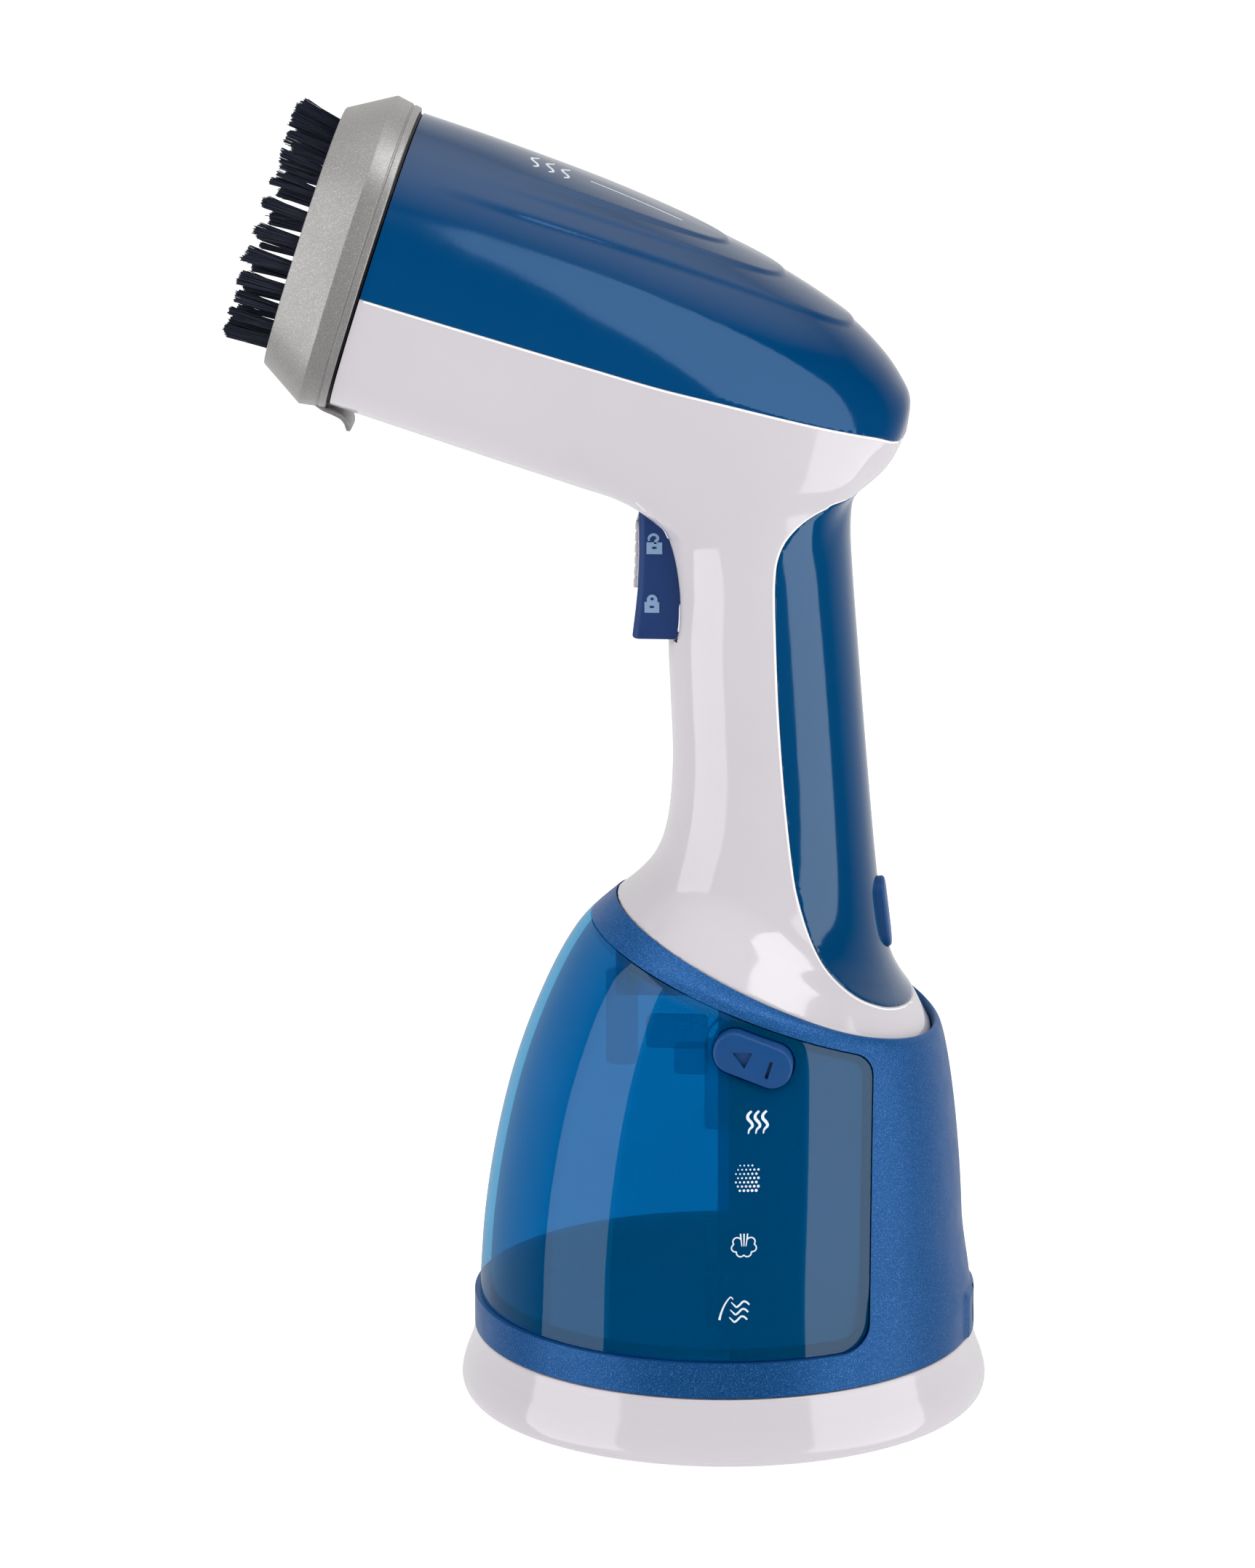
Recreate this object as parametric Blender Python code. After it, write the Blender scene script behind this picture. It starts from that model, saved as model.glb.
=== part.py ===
"""Handheld garment steamer, built in Blender as one object for each physical piece.

+Z is up, the steam head points to -X, and the origin is the centre of the round foot's underside.
Every dimension is in millimetres; meshes are scaled to metres by MM as they are made.
"""

import math

import bmesh
import bpy
from mathutils import Vector

MM = 0.001
GAP = 0.3  # clearance between neighbouring pieces
WALL = 2.2  # moulded wall of the housing, the base shell and the tank
HALF_GAP = GAP / 2

# Round base
FOOT_RADIUS = 54.0
FOOT_HEIGHT = 1.5
RING_TOP = 16.0  # top of the white base ring
BAND_TOP = 24.3  # top of the blue band, where the tank starts
BAND_RADIUS = 56.8
CORD_HEIGHT = 21.5  # height of the cord hole in the rear boss
SCREW_CIRCLE = 40.0
SCREW_ANGLES = tuple(math.radians(a) for a in (90.0, 210.0, 330.0))

# Base body: front point (x, z), rear point (x, z), half width
BASE_SECTIONS = (
    ((-55.9, 24.0), (55.4, 24.0), 55.5),
    ((-54.6, 43.0), (54.5, 39.0), 54.4),
    ((-51.6, 62.0), (53.8, 53.0), 52.4),
    ((-47.0, 80.0), (52.6, 67.0), 49.4),
    ((-40.5, 97.0), (51.0, 79.0), 45.6),
    ((-34.0, 109.0), (49.4, 86.5), 42.2),
    ((-27.5, 116.0), (46.8, 90.0), 39.0),
)
# Neck and handle, from the slanted ring up into the head
HANDLE_SECTIONS = (
    ((-24.3, 118.3), (46.8, 87.0), 37.2),
    ((-19.9, 122.1), (43.4, 93.8), 32.6),
    ((-16.2, 126.5), (40.4, 98.5), 28.0),
    ((-13.8, 132.0), (37.8, 104.0), 24.2),
    ((-12.4, 140.0), (35.8, 112.0), 21.4),
    ((-11.9, 151.0), (33.9, 128.0), 19.8),
    ((-12.4, 164.0), (31.8, 151.0), 19.0),
    ((-12.9, 177.0), (29.9, 174.0), 18.8),
    ((-12.4, 190.0), (28.4, 193.0), 19.0),
    ((-14.6, 201.0), (27.9, 203.5), 19.8),
    ((-20.5, 209.0), (28.6, 210.6), 20.6),
    ((-25.0, 217.0), (31.0, 217.0), 21.0),
)
# Head: distance behind the gasket, height above and below the head's axis, half width
HEAD_SECTIONS = (
    (0.0, 34.1, 34.1, 29.0),
    (20.0, 33.7, 34.3, 29.0),
    (48.0, 31.9, 34.5, 28.7),
    (73.0, 28.6, 34.3, 27.4),
    (91.0, 24.7, 31.8, 24.8),
    (104.0, 20.4, 27.0, 21.0),
    (113.0, 15.8, 21.0, 16.6),
    (119.0, 11.3, 14.6, 12.0),
    (122.6, 7.0, 7.9, 7.0),
    (124.0, 0.0, 0.0, 0.0),
)
HEAD_TILT = math.radians(17.6)
HEAD_FRONT = (-78.0, 262.7)  # centre of the head's open front, as (x, z)
HEAD_POWER = 2.25  # a little squarer than an ellipse
HEAD_RATIO = 29.0 / 34.1  # width over height of everything on the head's front

# Parting lines in the XZ plane
COVER_LINE = (
    (-110.0, 268.4), (-78.2, 259.1), (-59.0, 253.5), (-43.6, 249.0), (-28.3, 244.5), (-13.0, 240.0),
    (2.4, 236.0), (17.6, 231.7), (32.8, 227.0), (40.7, 223.8), (60.0, 220.0),
)
GRIP_LINE = (
    (60.0, 89.0), (41.4, 95.3), (34.5, 98.6), (28.9, 102.6), (24.0, 107.7), (20.6, 113.7), (17.9, 121.5),
    (16.3, 129.5), (14.4, 146.0), (12.9, 166.0), (12.1, 187.8), (12.2, 196.1), (13.0, 200.6),
    (14.9, 204.4), (18.5, 208.0), (23.0, 210.4), (28.8, 211.8), (60.0, 213.0),
)
# Tank window: the roof line z = TANK_ROOF + TANK_SLOPE * x, and its rear edge
TANK_ROOF = 102.3
TANK_SLOPE = -0.367
TANK_REAR = 35.3
TANK_CORNER = 6.0
BAY_FRONT = 2.6  # front of the space behind the tank
BAY_HALF = 29.4

TRIGGER_PIVOT = (-10.0, 212.0)
TRIGGER_HALF = 8.2
BUTTON_CENTRE = (8.9, 44.0, 91.9)
BUTTON_TILT = math.radians(20.0)
COIL_STEPS = 8
BUTTON_LEAN = 0.32  # how far the tank's side leans in for each unit of height there
POWER_CENTRE = (35.6, 114.2)
POWER_LEAN = math.radians(7.1)
CAP_X = -10.0
WELL_FLOOR = 99.5
WELL_FRONT = -21.6
WELL_HALF = 11.6
VALVE_Z = 33.4
PUMP_X = 18.0
LATCH_PIN = (-4.3, -33.9)
TUFT_COUNT = 28
TUFT_LINE = 25.6  # half height of the oval that the tufts stand on
BUTTON_SIZE = (18.6, 9.6)
POWER_SIZE = (16.4, 8.6)


def clear_scene():
    for obj in list(bpy.data.objects):
        bpy.data.objects.remove(obj, do_unlink=True)


def material(name, colour, roughness, metallic=0.0, alpha=1.0):
    made = bpy.data.materials.new(name)
    made.use_nodes = True
    shader = made.node_tree.nodes["Principled BSDF"]
    shader.inputs["Base Color"].default_value = (*colour, 1.0)
    shader.inputs["Roughness"].default_value = roughness
    shader.inputs["Metallic"].default_value = metallic
    shader.inputs["Alpha"].default_value = alpha
    made.diffuse_color = (*colour, alpha)
    return made


def object_from(bm, name="shape"):
    bmesh.ops.recalc_face_normals(bm, faces=bm.faces)
    bmesh.ops.scale(bm, vec=(MM, MM, MM), verts=bm.verts)
    mesh = bpy.data.meshes.new(name)
    bm.to_mesh(mesh)
    bm.free()
    obj = bpy.data.objects.new(name, mesh)
    bpy.context.scene.collection.objects.link(obj)
    return obj


def boolean(target, tool, operation):
    """Applies one exact Boolean to target and removes the tool."""
    modifier = target.modifiers.new("boolean", "BOOLEAN")
    modifier.operation = operation
    modifier.object = tool
    graph = bpy.context.evaluated_depsgraph_get()
    result = bpy.data.meshes.new_from_object(target.evaluated_get(graph))
    target.modifiers.clear()
    target.data = result
    bpy.data.objects.remove(tool, do_unlink=True)
    return target


def cut(target, *tools):
    for tool in tools:
        boolean(target, tool, "DIFFERENCE")
    return target


def join(target, *tools):
    for tool in tools:
        boolean(target, tool, "UNION")
    return target


def keep(target, tool):
    return boolean(target, tool, "INTERSECT")


def copy_of(obj):
    twin = obj.copy()
    twin.data = obj.data.copy()
    bpy.context.scene.collection.objects.link(twin)
    return twin


def finish(obj, name, look, origin=(0.0, 0.0, 0.0)):
    """Names the piece, gives it its material, and moves its origin to a point in millimetres."""
    obj.name = name
    obj.data.name = name
    point = Vector(origin) * MM
    for vertex in obj.data.vertices:
        vertex.co -= point
    obj.location = point
    obj.data.materials.clear()
    obj.data.materials.append(look)
    obj.data.shade_smooth()
    obj.data.set_sharp_from_angle(angle=math.radians(35))
    return obj


def smooth_curve(points, steps):
    """Catmull-Rom points through tuples of any length, steps to a span."""
    padded = [points[0], *points, points[-1]]
    out = []
    for a, b, c, d in zip(padded, padded[1:], padded[2:], padded[3:]):
        for step in range(steps):
            t = step / steps
            out.append(
                tuple(
                    q + 0.5 * t * (r - p + t * (2 * p - 5 * q + 4 * r - s + t * (3 * q - p - 3 * r + s)))
                    for p, q, r, s in zip(a, b, c, d)
                )
            )
    out.append(tuple(points[-1]))
    return out


def superellipse(count, power=2.0):
    """Points (c, s) once round, with |c| and |s| up to 1."""
    out = []
    for i in range(count):
        angle = 2 * math.pi * i / count
        c, s = math.cos(angle), math.sin(angle)
        out.append((math.copysign(abs(c) ** (2 / power), c), math.copysign(abs(s) ** (2 / power), s)))
    return out


def loft(rings, hollow=False):
    """A closed solid through rings of equal length; a ring of one point closes an end.

    A hollow loft joins its last ring back to its first, as a tube does.
    """
    bm = bmesh.new()
    loops = [[bm.verts.new(p) for p in ring] for ring in rings]
    for low, high in zip(loops, [*loops[1:], loops[0]] if hollow else loops[1:]):
        count = max(len(low), len(high))
        for i in range(count):
            j = (i + 1) % count
            if len(high) == 1:
                bm.faces.new((low[i], low[j], high[0]))
            elif len(low) == 1:
                bm.faces.new((low[0], high[j], high[i]))
            else:
                bm.faces.new((low[i], low[j], high[j], high[i]))
    for loop in () if hollow else (loops[0], loops[-1]):
        if len(loop) > 2:
            bm.faces.new(loop)
    return object_from(bm)


def box(low, high):
    rings = [
        [(low[0], low[1], z), (high[0], low[1], z), (high[0], high[1], z), (low[0], high[1], z)]
        for z in (low[2], high[2])
    ]
    return loft(rings)


def prism(outline, half, centre=0.0):
    """An outline in the XZ plane, extruded along Y to both sides of the centre."""
    return loft([[(x, centre + side, z) for x, z in outline] for side in (-half, half)])


def turned(profile, centre=(0.0, 0.0, 0.0), count=40):
    """A profile of (radius, height) turned about the vertical; a radius of 0 at an end closes it flat."""
    x0, y0, z0 = centre
    solid = profile[0][0] == 0
    rings = []
    for radius, height in profile[1:-1] if solid else profile:
        turn = [2 * math.pi * i / count for i in range(count)]
        rings.append([(x0 + radius * math.cos(t), y0 + radius * math.sin(t), z0 + height) for t in turn])
    return loft(rings, hollow=not solid)


def rod(start, end, radius, count=16, end_radius=None):
    """A cylinder between two points, or a cone where the end has its own radius."""
    start, end = Vector(start), Vector(end)
    along = (end - start).normalized()
    side = along.orthogonal().normalized()
    other = along.cross(side)
    turn = [2 * math.pi * i / count for i in range(count)]
    rings = []
    for place, size in ((start, radius), (end, end_radius or radius)):
        rings.append([place + size * (side * math.cos(t) + other * math.sin(t)) for t in turn])
    return loft(rings)


def hose(points, radius):
    """A flexible tube as a bevelled curve with filled caps, its points read from a smooth curve."""
    data = bpy.data.curves.new("hose", "CURVE")
    data.dimensions = "3D"
    data.bevel_depth = radius * MM
    data.bevel_resolution = 2
    data.use_fill_caps = True
    spline = data.splines.new("POLY")
    route = smooth_curve(points, 2)
    spline.points.add(len(route) - 1)
    for point, place in zip(spline.points, route):
        point.co = (*(MM * c for c in place), 1.0)
    curve = bpy.data.objects.new("hose", data)
    bpy.context.scene.collection.objects.link(curve)
    graph = bpy.context.evaluated_depsgraph_get()
    mesh = bpy.data.meshes.new_from_object(curve.evaluated_get(graph))
    bpy.data.objects.remove(curve, do_unlink=True)
    bm = bmesh.new()
    bm.from_mesh(mesh)
    bmesh.ops.remove_doubles(bm, verts=bm.verts, dist=0.00001)
    bmesh.ops.recalc_face_normals(bm, faces=bm.faces)
    bm.to_mesh(mesh)
    bm.free()
    obj = bpy.data.objects.new("hose", mesh)
    bpy.context.scene.collection.objects.link(obj)
    return obj


def coil(start, end, radius, wire, turns):
    """A compression spring between two points."""
    start, end = Vector(start), Vector(end)
    along = (end - start).normalized()
    side = along.orthogonal().normalized()
    other = along.cross(side)
    steps = COIL_STEPS * turns
    rings = []
    for i in range(steps + 1):
        angle = 2 * math.pi * i / COIL_STEPS
        outward = side * math.cos(angle) + other * math.sin(angle)
        centre = start.lerp(end, i / steps) + radius * outward
        corner = [2 * math.pi * k / 5 for k in range(5)]
        rings.append([centre + wire * (outward * math.cos(c) + along * math.sin(c)) for c in corner])
    return loft(rings)


def pill(length, width, count=20):
    """A stadium outline (u, w), long way along u."""
    straight = (length - width) / 2
    radius = width / 2
    half = count // 2
    right = [math.pi * (i / half - 0.5) for i in range(half + 1)]
    out = [(straight + radius * math.cos(a), radius * math.sin(a)) for a in right]
    return out + [(-x, -w) for x, w in out]


def head_point(s, y, v):
    """A point from the head's own frame: s behind the gasket, v above the head's axis."""
    c, k = math.cos(HEAD_TILT), math.sin(HEAD_TILT)
    return (HEAD_FRONT[0] + s * c + v * k, y, HEAD_FRONT[1] - s * k + v * c)


def head_ring(s, top, bottom, half, count=32):
    return [
        head_point(s, half * c, (top if k > 0 else bottom) * k) for c, k in superellipse(count, HEAD_POWER)
    ]


def face_ring(s, height, count=32, power=HEAD_POWER):
    """A ring across the head's front, given its half height."""
    return [head_point(s, height * HEAD_RATIO * c, height * k) for c, k in superellipse(count, power)]


def head_solid(inset, front, count=32, steps=2):
    sections = smooth_curve(HEAD_SECTIONS, steps)
    rings = []
    for s, top, bottom, half in sections[:-1]:
        if min(top, bottom, half) > inset + 1.0:
            rings.append(head_ring(s - inset * (s > 110), top - inset, bottom - inset, half - inset, count))
    rings[0] = head_ring(front, *(value - inset for value in HEAD_SECTIONS[0][1:]), count)
    rings.append([head_point(HEAD_SECTIONS[-1][0] - inset, 0.0, 0.0)])
    return loft(rings)


def rail_ring(section, inset, count, drop=0.0):
    """A ring through a front point, a rear point and a half width, moved down by drop."""
    fx, fz, rx, rz, half = section
    front, rear = Vector((fx, 0.0, fz - drop)), Vector((rx, 0.0, rz - drop))
    centre, arm = (front + rear) / 2, (rear - front) / 2
    arm *= (arm.length - inset) / arm.length
    return [centre + arm * c + Vector((0.0, (half - inset) * k, 0.0)) for c, k in superellipse(count)]


def flat(sections):
    return [(*front, *rear, half) for front, rear, half in sections]


def handle_solid(inset, drop, count=32):
    sections = flat(HANDLE_SECTIONS)
    rings = [rail_ring(section, inset, count) for section in sections]
    return loft([rail_ring(sections[0], inset, count, drop), *rings])


def above_slant(drop):
    """Everything higher than the base's slanted top, moved down by drop."""
    (front_x, front_z), (rear_x, rear_z), _ = BASE_SECTIONS[-1]
    slope = (rear_z - front_z) / (rear_x - front_x)
    edge = [(x, front_z + slope * (x - front_x) - drop) for x in (-90.0, 90.0)]
    return prism([*edge, (90.0, 200.0), (-90.0, 200.0)], 90.0)


def base_solid(inset, floor, drop=0.0, count=32, steps=1):
    """The base body from the floor up to its slanted top, which is moved down by drop."""
    rings = [rail_ring(section, inset, count) for section in smooth_curve(flat(BASE_SECTIONS), steps)]
    first = [Vector((p.x, p.y, floor)) for p in rings[0]]
    solid = loft([first, *rings])
    return cut(solid, above_slant(drop)) if drop else solid


def round_corner(before, corner, after, radius, steps=5):
    """The arc that replaces a corner of an outline."""
    p, q, r = Vector(before), Vector(corner), Vector(after)
    one, two = (p - q).normalized(), (r - q).normalized()
    angle = one.angle(two) / 2
    centre = q + (one + two).normalized() * (radius / math.sin(angle))
    start = q + one * (radius / math.tan(angle)) - centre
    end = q + two * (radius / math.tan(angle)) - centre
    turn = start.angle_signed(end)
    out = []
    for i in range(steps + 1):
        a = -turn * i / steps
        out.append(
            (
                centre.x + start.x * math.cos(a) - start.y * math.sin(a),
                centre.y + start.x * math.sin(a) + start.y * math.cos(a),
            )
        )
    return out


def tank_outline(inset):
    """The tank's outline seen from the side, open to the front."""
    rear = TANK_REAR - inset
    floor = BAND_TOP + inset
    roof = TANK_ROOF - inset
    ahead = -80.0
    top_rear = (rear, roof + TANK_SLOPE * rear)
    low = round_corner((ahead, floor), (rear, floor), top_rear, TANK_CORNER)
    high = round_corner((rear, floor), top_rear, (ahead, roof + TANK_SLOPE * ahead), TANK_CORNER)
    return [(ahead, floor), *low, *high, (ahead, roof + TANK_SLOPE * ahead)]


def button_plug(side, grow, inner, outer, shrink=1.0):
    """A pill-shaped prism across the tank's side, from one distance off the middle plane to another."""
    cx, _, cz = BUTTON_CENTRE
    rings = []
    for distance, scale in ((inner, 1.0), (outer - 0.8, 1.0), (outer, shrink)):
        ring = []
        for u, w in pill(*(size + 2 * grow for size in BUTTON_SIZE)):
            u, w = u * scale, w * scale
            x = cx + u * math.cos(BUTTON_TILT) + w * math.sin(BUTTON_TILT)
            z = cz - u * math.sin(BUTTON_TILT) + w * math.cos(BUTTON_TILT)
            lean = BUTTON_LEAN * (z - cz) if distance > inner else 0.0
            ring.append((x, side * (distance - lean), z))
        rings.append(ring)
    return loft(rings)


def power_plug(grow, inner, outer, shrink=1.0):
    """A pill-shaped plug through the rear of the handle, long way up."""
    nx, nz = math.cos(POWER_LEAN), math.sin(POWER_LEAN)
    rings = []
    for distance, scale in ((inner, 1.0), (outer - 1.0, 1.0), (outer, shrink)):
        ring = []
        for u, w in pill(*(size + 2 * grow for size in POWER_SIZE)):
            u, w = u * scale, w * scale
            x, z = POWER_CENTRE
            ring.append((x + distance * nx - u * nz, w, z + distance * nz + u * nx))
        rings.append(ring)
    return loft(rings)


def head_prism(outline, half, centre=0.0):
    """An outline in the head's own (s, v) plane, extruded along Y."""
    return loft([[head_point(s, centre + side, v) for s, v in outline] for side in (-half, half)])


# Pieces of the housing


def shell():
    """The whole moulded skin of head, handle and neck, before it is parted."""
    outer = join(head_solid(0.0, 0.0), handle_solid(0.0, 3.0))
    inner = join(head_solid(WALL, -5.0, 20, 1), handle_solid(WALL, 6.0, 20))
    return cut(outer, inner)


def above_cover_line(lift):
    line = [(x, z + lift) for x, z in COVER_LINE]
    return prism([*line, (60.0, 330.0), (-110.0, 330.0)], 60.0)


def behind_grip_line(back):
    line = [(x + back, z) for x, z in GRIP_LINE]
    low = [(x, z + max(0.0, back)) for x, z in line[:4]]
    high = [(x, z - max(0.0, back)) for x, z in line[-4:]]
    return prism([*low, *line[4:-4], *high], 60.0)


def make_housing(white, gloss_blue):
    whole = shell()
    cover = keep(copy_of(whole), above_cover_line(HALF_GAP))
    grip = keep(copy_of(whole), behind_grip_line(HALF_GAP))
    cut(grip, power_plug(GAP, -12.0, 8.0))
    cut(whole, above_cover_line(-HALF_GAP), behind_grip_line(-HALF_GAP))
    slot = (-20.6, -TRIGGER_HALF - 0.6, 176.6), (-5.0, TRIGGER_HALF + 0.6, 216.0)
    cut(whole, box(*slot))
    left = keep(copy_of(whole), box((-130.0, -80.0, 60.0), (80.0, -HALF_GAP, 330.0)))
    right = keep(whole, box((-130.0, HALF_GAP, 60.0), (80.0, 80.0, 330.0)))
    finish(left, "housing_left", white)
    finish(right, "housing_right", white)
    finish(cover, "head_top_cover", gloss_blue)
    finish(grip, "rear_grip_cover", gloss_blue)


def make_base(white, satin_blue, black, rubber):
    body = cut(base_solid(0.0, 20.0, count=40), base_solid(WALL, 5.0, WALL))
    body = keep(body, box((-70.0, -70.0, RING_TOP + GAP), (70.0, 70.0, 130.0)))
    inside = BAND_RADIUS - 3.2
    band = turned(
        ((BAND_RADIUS, RING_TOP + GAP), (BAND_RADIUS, BAND_TOP), (inside, BAND_TOP), (inside, RING_TOP + GAP))
    )
    join(body, band)
    foot = RING_TOP + GAP
    boss = [(50.0, foot), (57.6, foot), (57.4, 20.0), (56.9, 25.6), (56.0, 26.6), (50.0, 26.6)]
    join(body, prism(boss, 11.0))
    cut(body, prism(tank_outline(0.0), 80.0))
    cut(body, handle_solid(-GAP, 8.0))
    cut(body, rod((45.0, 0.0, CORD_HEIGHT), (65.0, 0.0, CORD_HEIGHT), 4.6))
    finish(body, "base_shell", satin_blue)

    ring = turned(
        (
            (0.0, 3.6), (FOOT_RADIUS + 0.4, 3.6), (FOOT_RADIUS + 0.4, 0.6), (57.0, 0.6), (58.6, 1.2),
            (59.6, 2.6), (60.0, 4.4), (59.2, 8.3), (57.7, 12.0), (56.6, RING_TOP),
            (53.0, RING_TOP), (53.0, 7.0), (0.0, 7.0),
        ),
        count=44,
    )
    for angle in SCREW_ANGLES:
        x, y = SCREW_CIRCLE * math.cos(angle), SCREW_CIRCLE * math.sin(angle)
        cut(ring, rod((x, y, 0.0), (x, y, 10.0), 1.9, 8))
    finish(ring, "base_ring", white)

    edge = FOOT_RADIUS
    pad = turned(((0.0, 0.0), (edge - 0.8, 0.0), (edge, 0.5), (edge, FOOT_HEIGHT), (0.0, FOOT_HEIGHT)))
    finish(pad, "foot_pad", rubber)

    plate = turned(((0.0, FOOT_HEIGHT + GAP), (52.0, FOOT_HEIGHT + GAP), (52.0, 3.3), (0.0, 3.3)))
    screw = ((0.0, 1.9), (3.4, 1.9), (3.4, 3.2), (1.5, 3.3), (1.5, 12.0), (0.0, 12.0))
    for number, angle in enumerate(SCREW_ANGLES, 1):
        x, y = SCREW_CIRCLE * math.cos(angle), SCREW_CIRCLE * math.sin(angle)
        cut(plate, rod((x, y, 0.0), (x, y, 10.0), 3.9, 12))
        finish(turned(screw, (x, y, 0.0), 12), f"base_screw_{number}", STEEL, (x, y, 1.9))
    finish(plate, "bottom_cover", black)

    gland = cut(
        rod((51.0, 0.0, CORD_HEIGHT), (57.9, 0.0, CORD_HEIGHT), 4.2),
        rod((40.0, 0.0, CORD_HEIGHT), (65.0, 0.0, CORD_HEIGHT), 2.6),
    )
    finish(gland, "cord_gland", rubber)


def make_frame_and_pump(dark, grey, hose_clear, green, copper):
    frame = cut(
        box((BAY_FRONT + GAP, -BAY_HALF + GAP, 8.0), (34.0, BAY_HALF - GAP, 92.0)),
        box((BAY_FRONT + GAP + WALL, -BAY_HALF + GAP + WALL, 0.0), (40.0, BAY_HALF - GAP - WALL, 100.0)),
        rod((-5.0, 0.0, VALVE_Z), (12.0, 0.0, VALVE_Z), 4.6),
    )
    keep(frame, base_solid(WALL + 0.6, 8.0, 8.0))
    finish(frame, "inner_frame", dark)

    pump = rod((PUMP_X, 0.0, 46.0), (PUMP_X, 0.0, 73.0), 10.5, 24)
    join(pump, box((PUMP_X - 8.0, -12.5, 50.0), (PUMP_X + 8.0, 12.5, 68.0)))
    for low in (42.0, 72.0):
        join(pump, rod((PUMP_X, 0.0, low), (PUMP_X, 0.0, low + 5.0), 3.0))
    finish(pump, "pump", grey)

    supply = [(10.6, 0.0, VALVE_Z), (13.0, 0.0, VALVE_Z), (16.4, 0.0, VALVE_Z + 2.0),
              (PUMP_X, 0.0, 39.0), (PUMP_X, 0.0, 41.6)]
    finish(hose(supply, 2.4), "supply_hose", hose_clear)
    feed = [
        (PUMP_X, 0.0, 77.4), (17.4, 0.0, 92.0), (13.0, 0.0, 112.0), (9.5, 0.0, 140.0), (8.6, 0.0, 170.0),
        (9.0, 0.0, 200.0), (6.0, 0.0, 222.0), (-4.0, 0.0, 236.0), (-14.0, 0.0, 242.4), (-21.4, 0.0, 244.8),
    ]
    finish(hose(feed, 2.4), "feed_hose", hose_clear)

    board = box((37.0, -17.0, 40.0), (38.6, 17.0, 76.0))
    for low, high in (
        ((38.0, -12.0, 46.0), (43.0, -4.0, 58.0)),
        ((38.0, 3.0, 60.0), (42.0, 12.0, 70.0)),
        ((38.0, 4.0, 46.0), (41.0, 9.0, 52.0)),
    ):
        join(board, box(low, high))
    finish(board, "circuit_board", green)
    seal = rod((5.5, 0.0, VALVE_Z), (7.6, 0.0, VALVE_Z), 6.6)
    cut(seal, rod((0.0, 0.0, VALVE_Z), (12.0, 0.0, VALVE_Z), 4.4))
    finish(seal, "valve_seal", copper)


def make_tank(clear_blue, satin_blue, grey, rubber):
    tank = keep(base_solid(0.0, 20.0, count=40), prism(tank_outline(GAP), 80.0))
    cut(tank, box((BAY_FRONT, -BAY_HALF, 0.0), (80.0, BAY_HALF, 130.0)))
    cut(tank, box((WELL_FRONT, -WELL_HALF, WELL_FLOOR), (20.0, WELL_HALF, 130.0)))
    room = keep(base_solid(WALL, 20.0), prism(tank_outline(GAP + WALL), 80.0))
    cut(room, box((BAY_FRONT - WALL, -BAY_HALF - WALL, 0.0), (80.0, BAY_HALF + WALL, 130.0)))
    low = WELL_FRONT - WALL, -WELL_HALF - WALL, WELL_FLOOR - WALL
    cut(room, box(low, (20.0, WELL_HALF + WALL, 130.0)))
    for side in (-1, 1):
        cut(room, button_plug(side, GAP + 1.6, 35.4, 60.0))
        cut(tank, button_plug(side, GAP, 37.0, 60.0))
    cut(tank, room, rod((CAP_X, 0.0, 90.0), (CAP_X, 0.0, 110.0), 7.0, 24))
    cut(tank, rod((-6.0, 0.0, VALVE_Z), (6.0, 0.0, VALVE_Z), 4.3))
    finish(tank, "water_tank", clear_blue, (BAY_FRONT, 0.0, VALVE_Z))

    valve = join(
        rod((-4.0, 0.0, VALVE_Z), (10.0, 0.0, VALVE_Z), 4.0),
        rod((-4.0, 0.0, VALVE_Z), (0.0, 0.0, VALVE_Z), 5.8),
    )
    finish(valve, "tank_valve", grey, (BAY_FRONT, 0.0, VALVE_Z))

    cap = turned(
        (
            (0.0, 96.4), (6.0, 96.4), (6.5, 97.0), (6.5, 101.2), (9.8, 101.2), (10.0, 101.6), (10.0, 103.2),
            (9.4, 103.8), (0.0, 103.8),
        ),
        (CAP_X, 0.0, 0.0),
        24,
    )
    join(cap, box((CAP_X - 7.0, -1.2, 103.0), (CAP_X + 7.0, 1.2, 106.2)))
    finish(cap, "tank_cap", satin_blue, (CAP_X, 0.0, 96.4))
    ring = turned(((6.9, 99.8), (9.4, 99.8), (9.4, 100.9), (6.9, 100.9)), (CAP_X, 0.0, 0.0), 24)
    finish(ring, "cap_seal", rubber, (CAP_X, 0.0, 99.8))

    for side, name in ((-1, "left"), (1, "right")):
        button = button_plug(side, 0.0, 40.6, 45.5, 0.9)
        centre = (BUTTON_CENTRE[0], side * BUTTON_CENTRE[1], BUTTON_CENTRE[2])
        finish(button, f"release_button_{name}", satin_blue, centre)
        x, _, z = BUTTON_CENTRE
        spring = coil((x, side * 37.5, z), (x, side * 38.4, z), 2.6, 0.25, 2)
        finish(spring, f"release_spring_{name}", STEEL)


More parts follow.
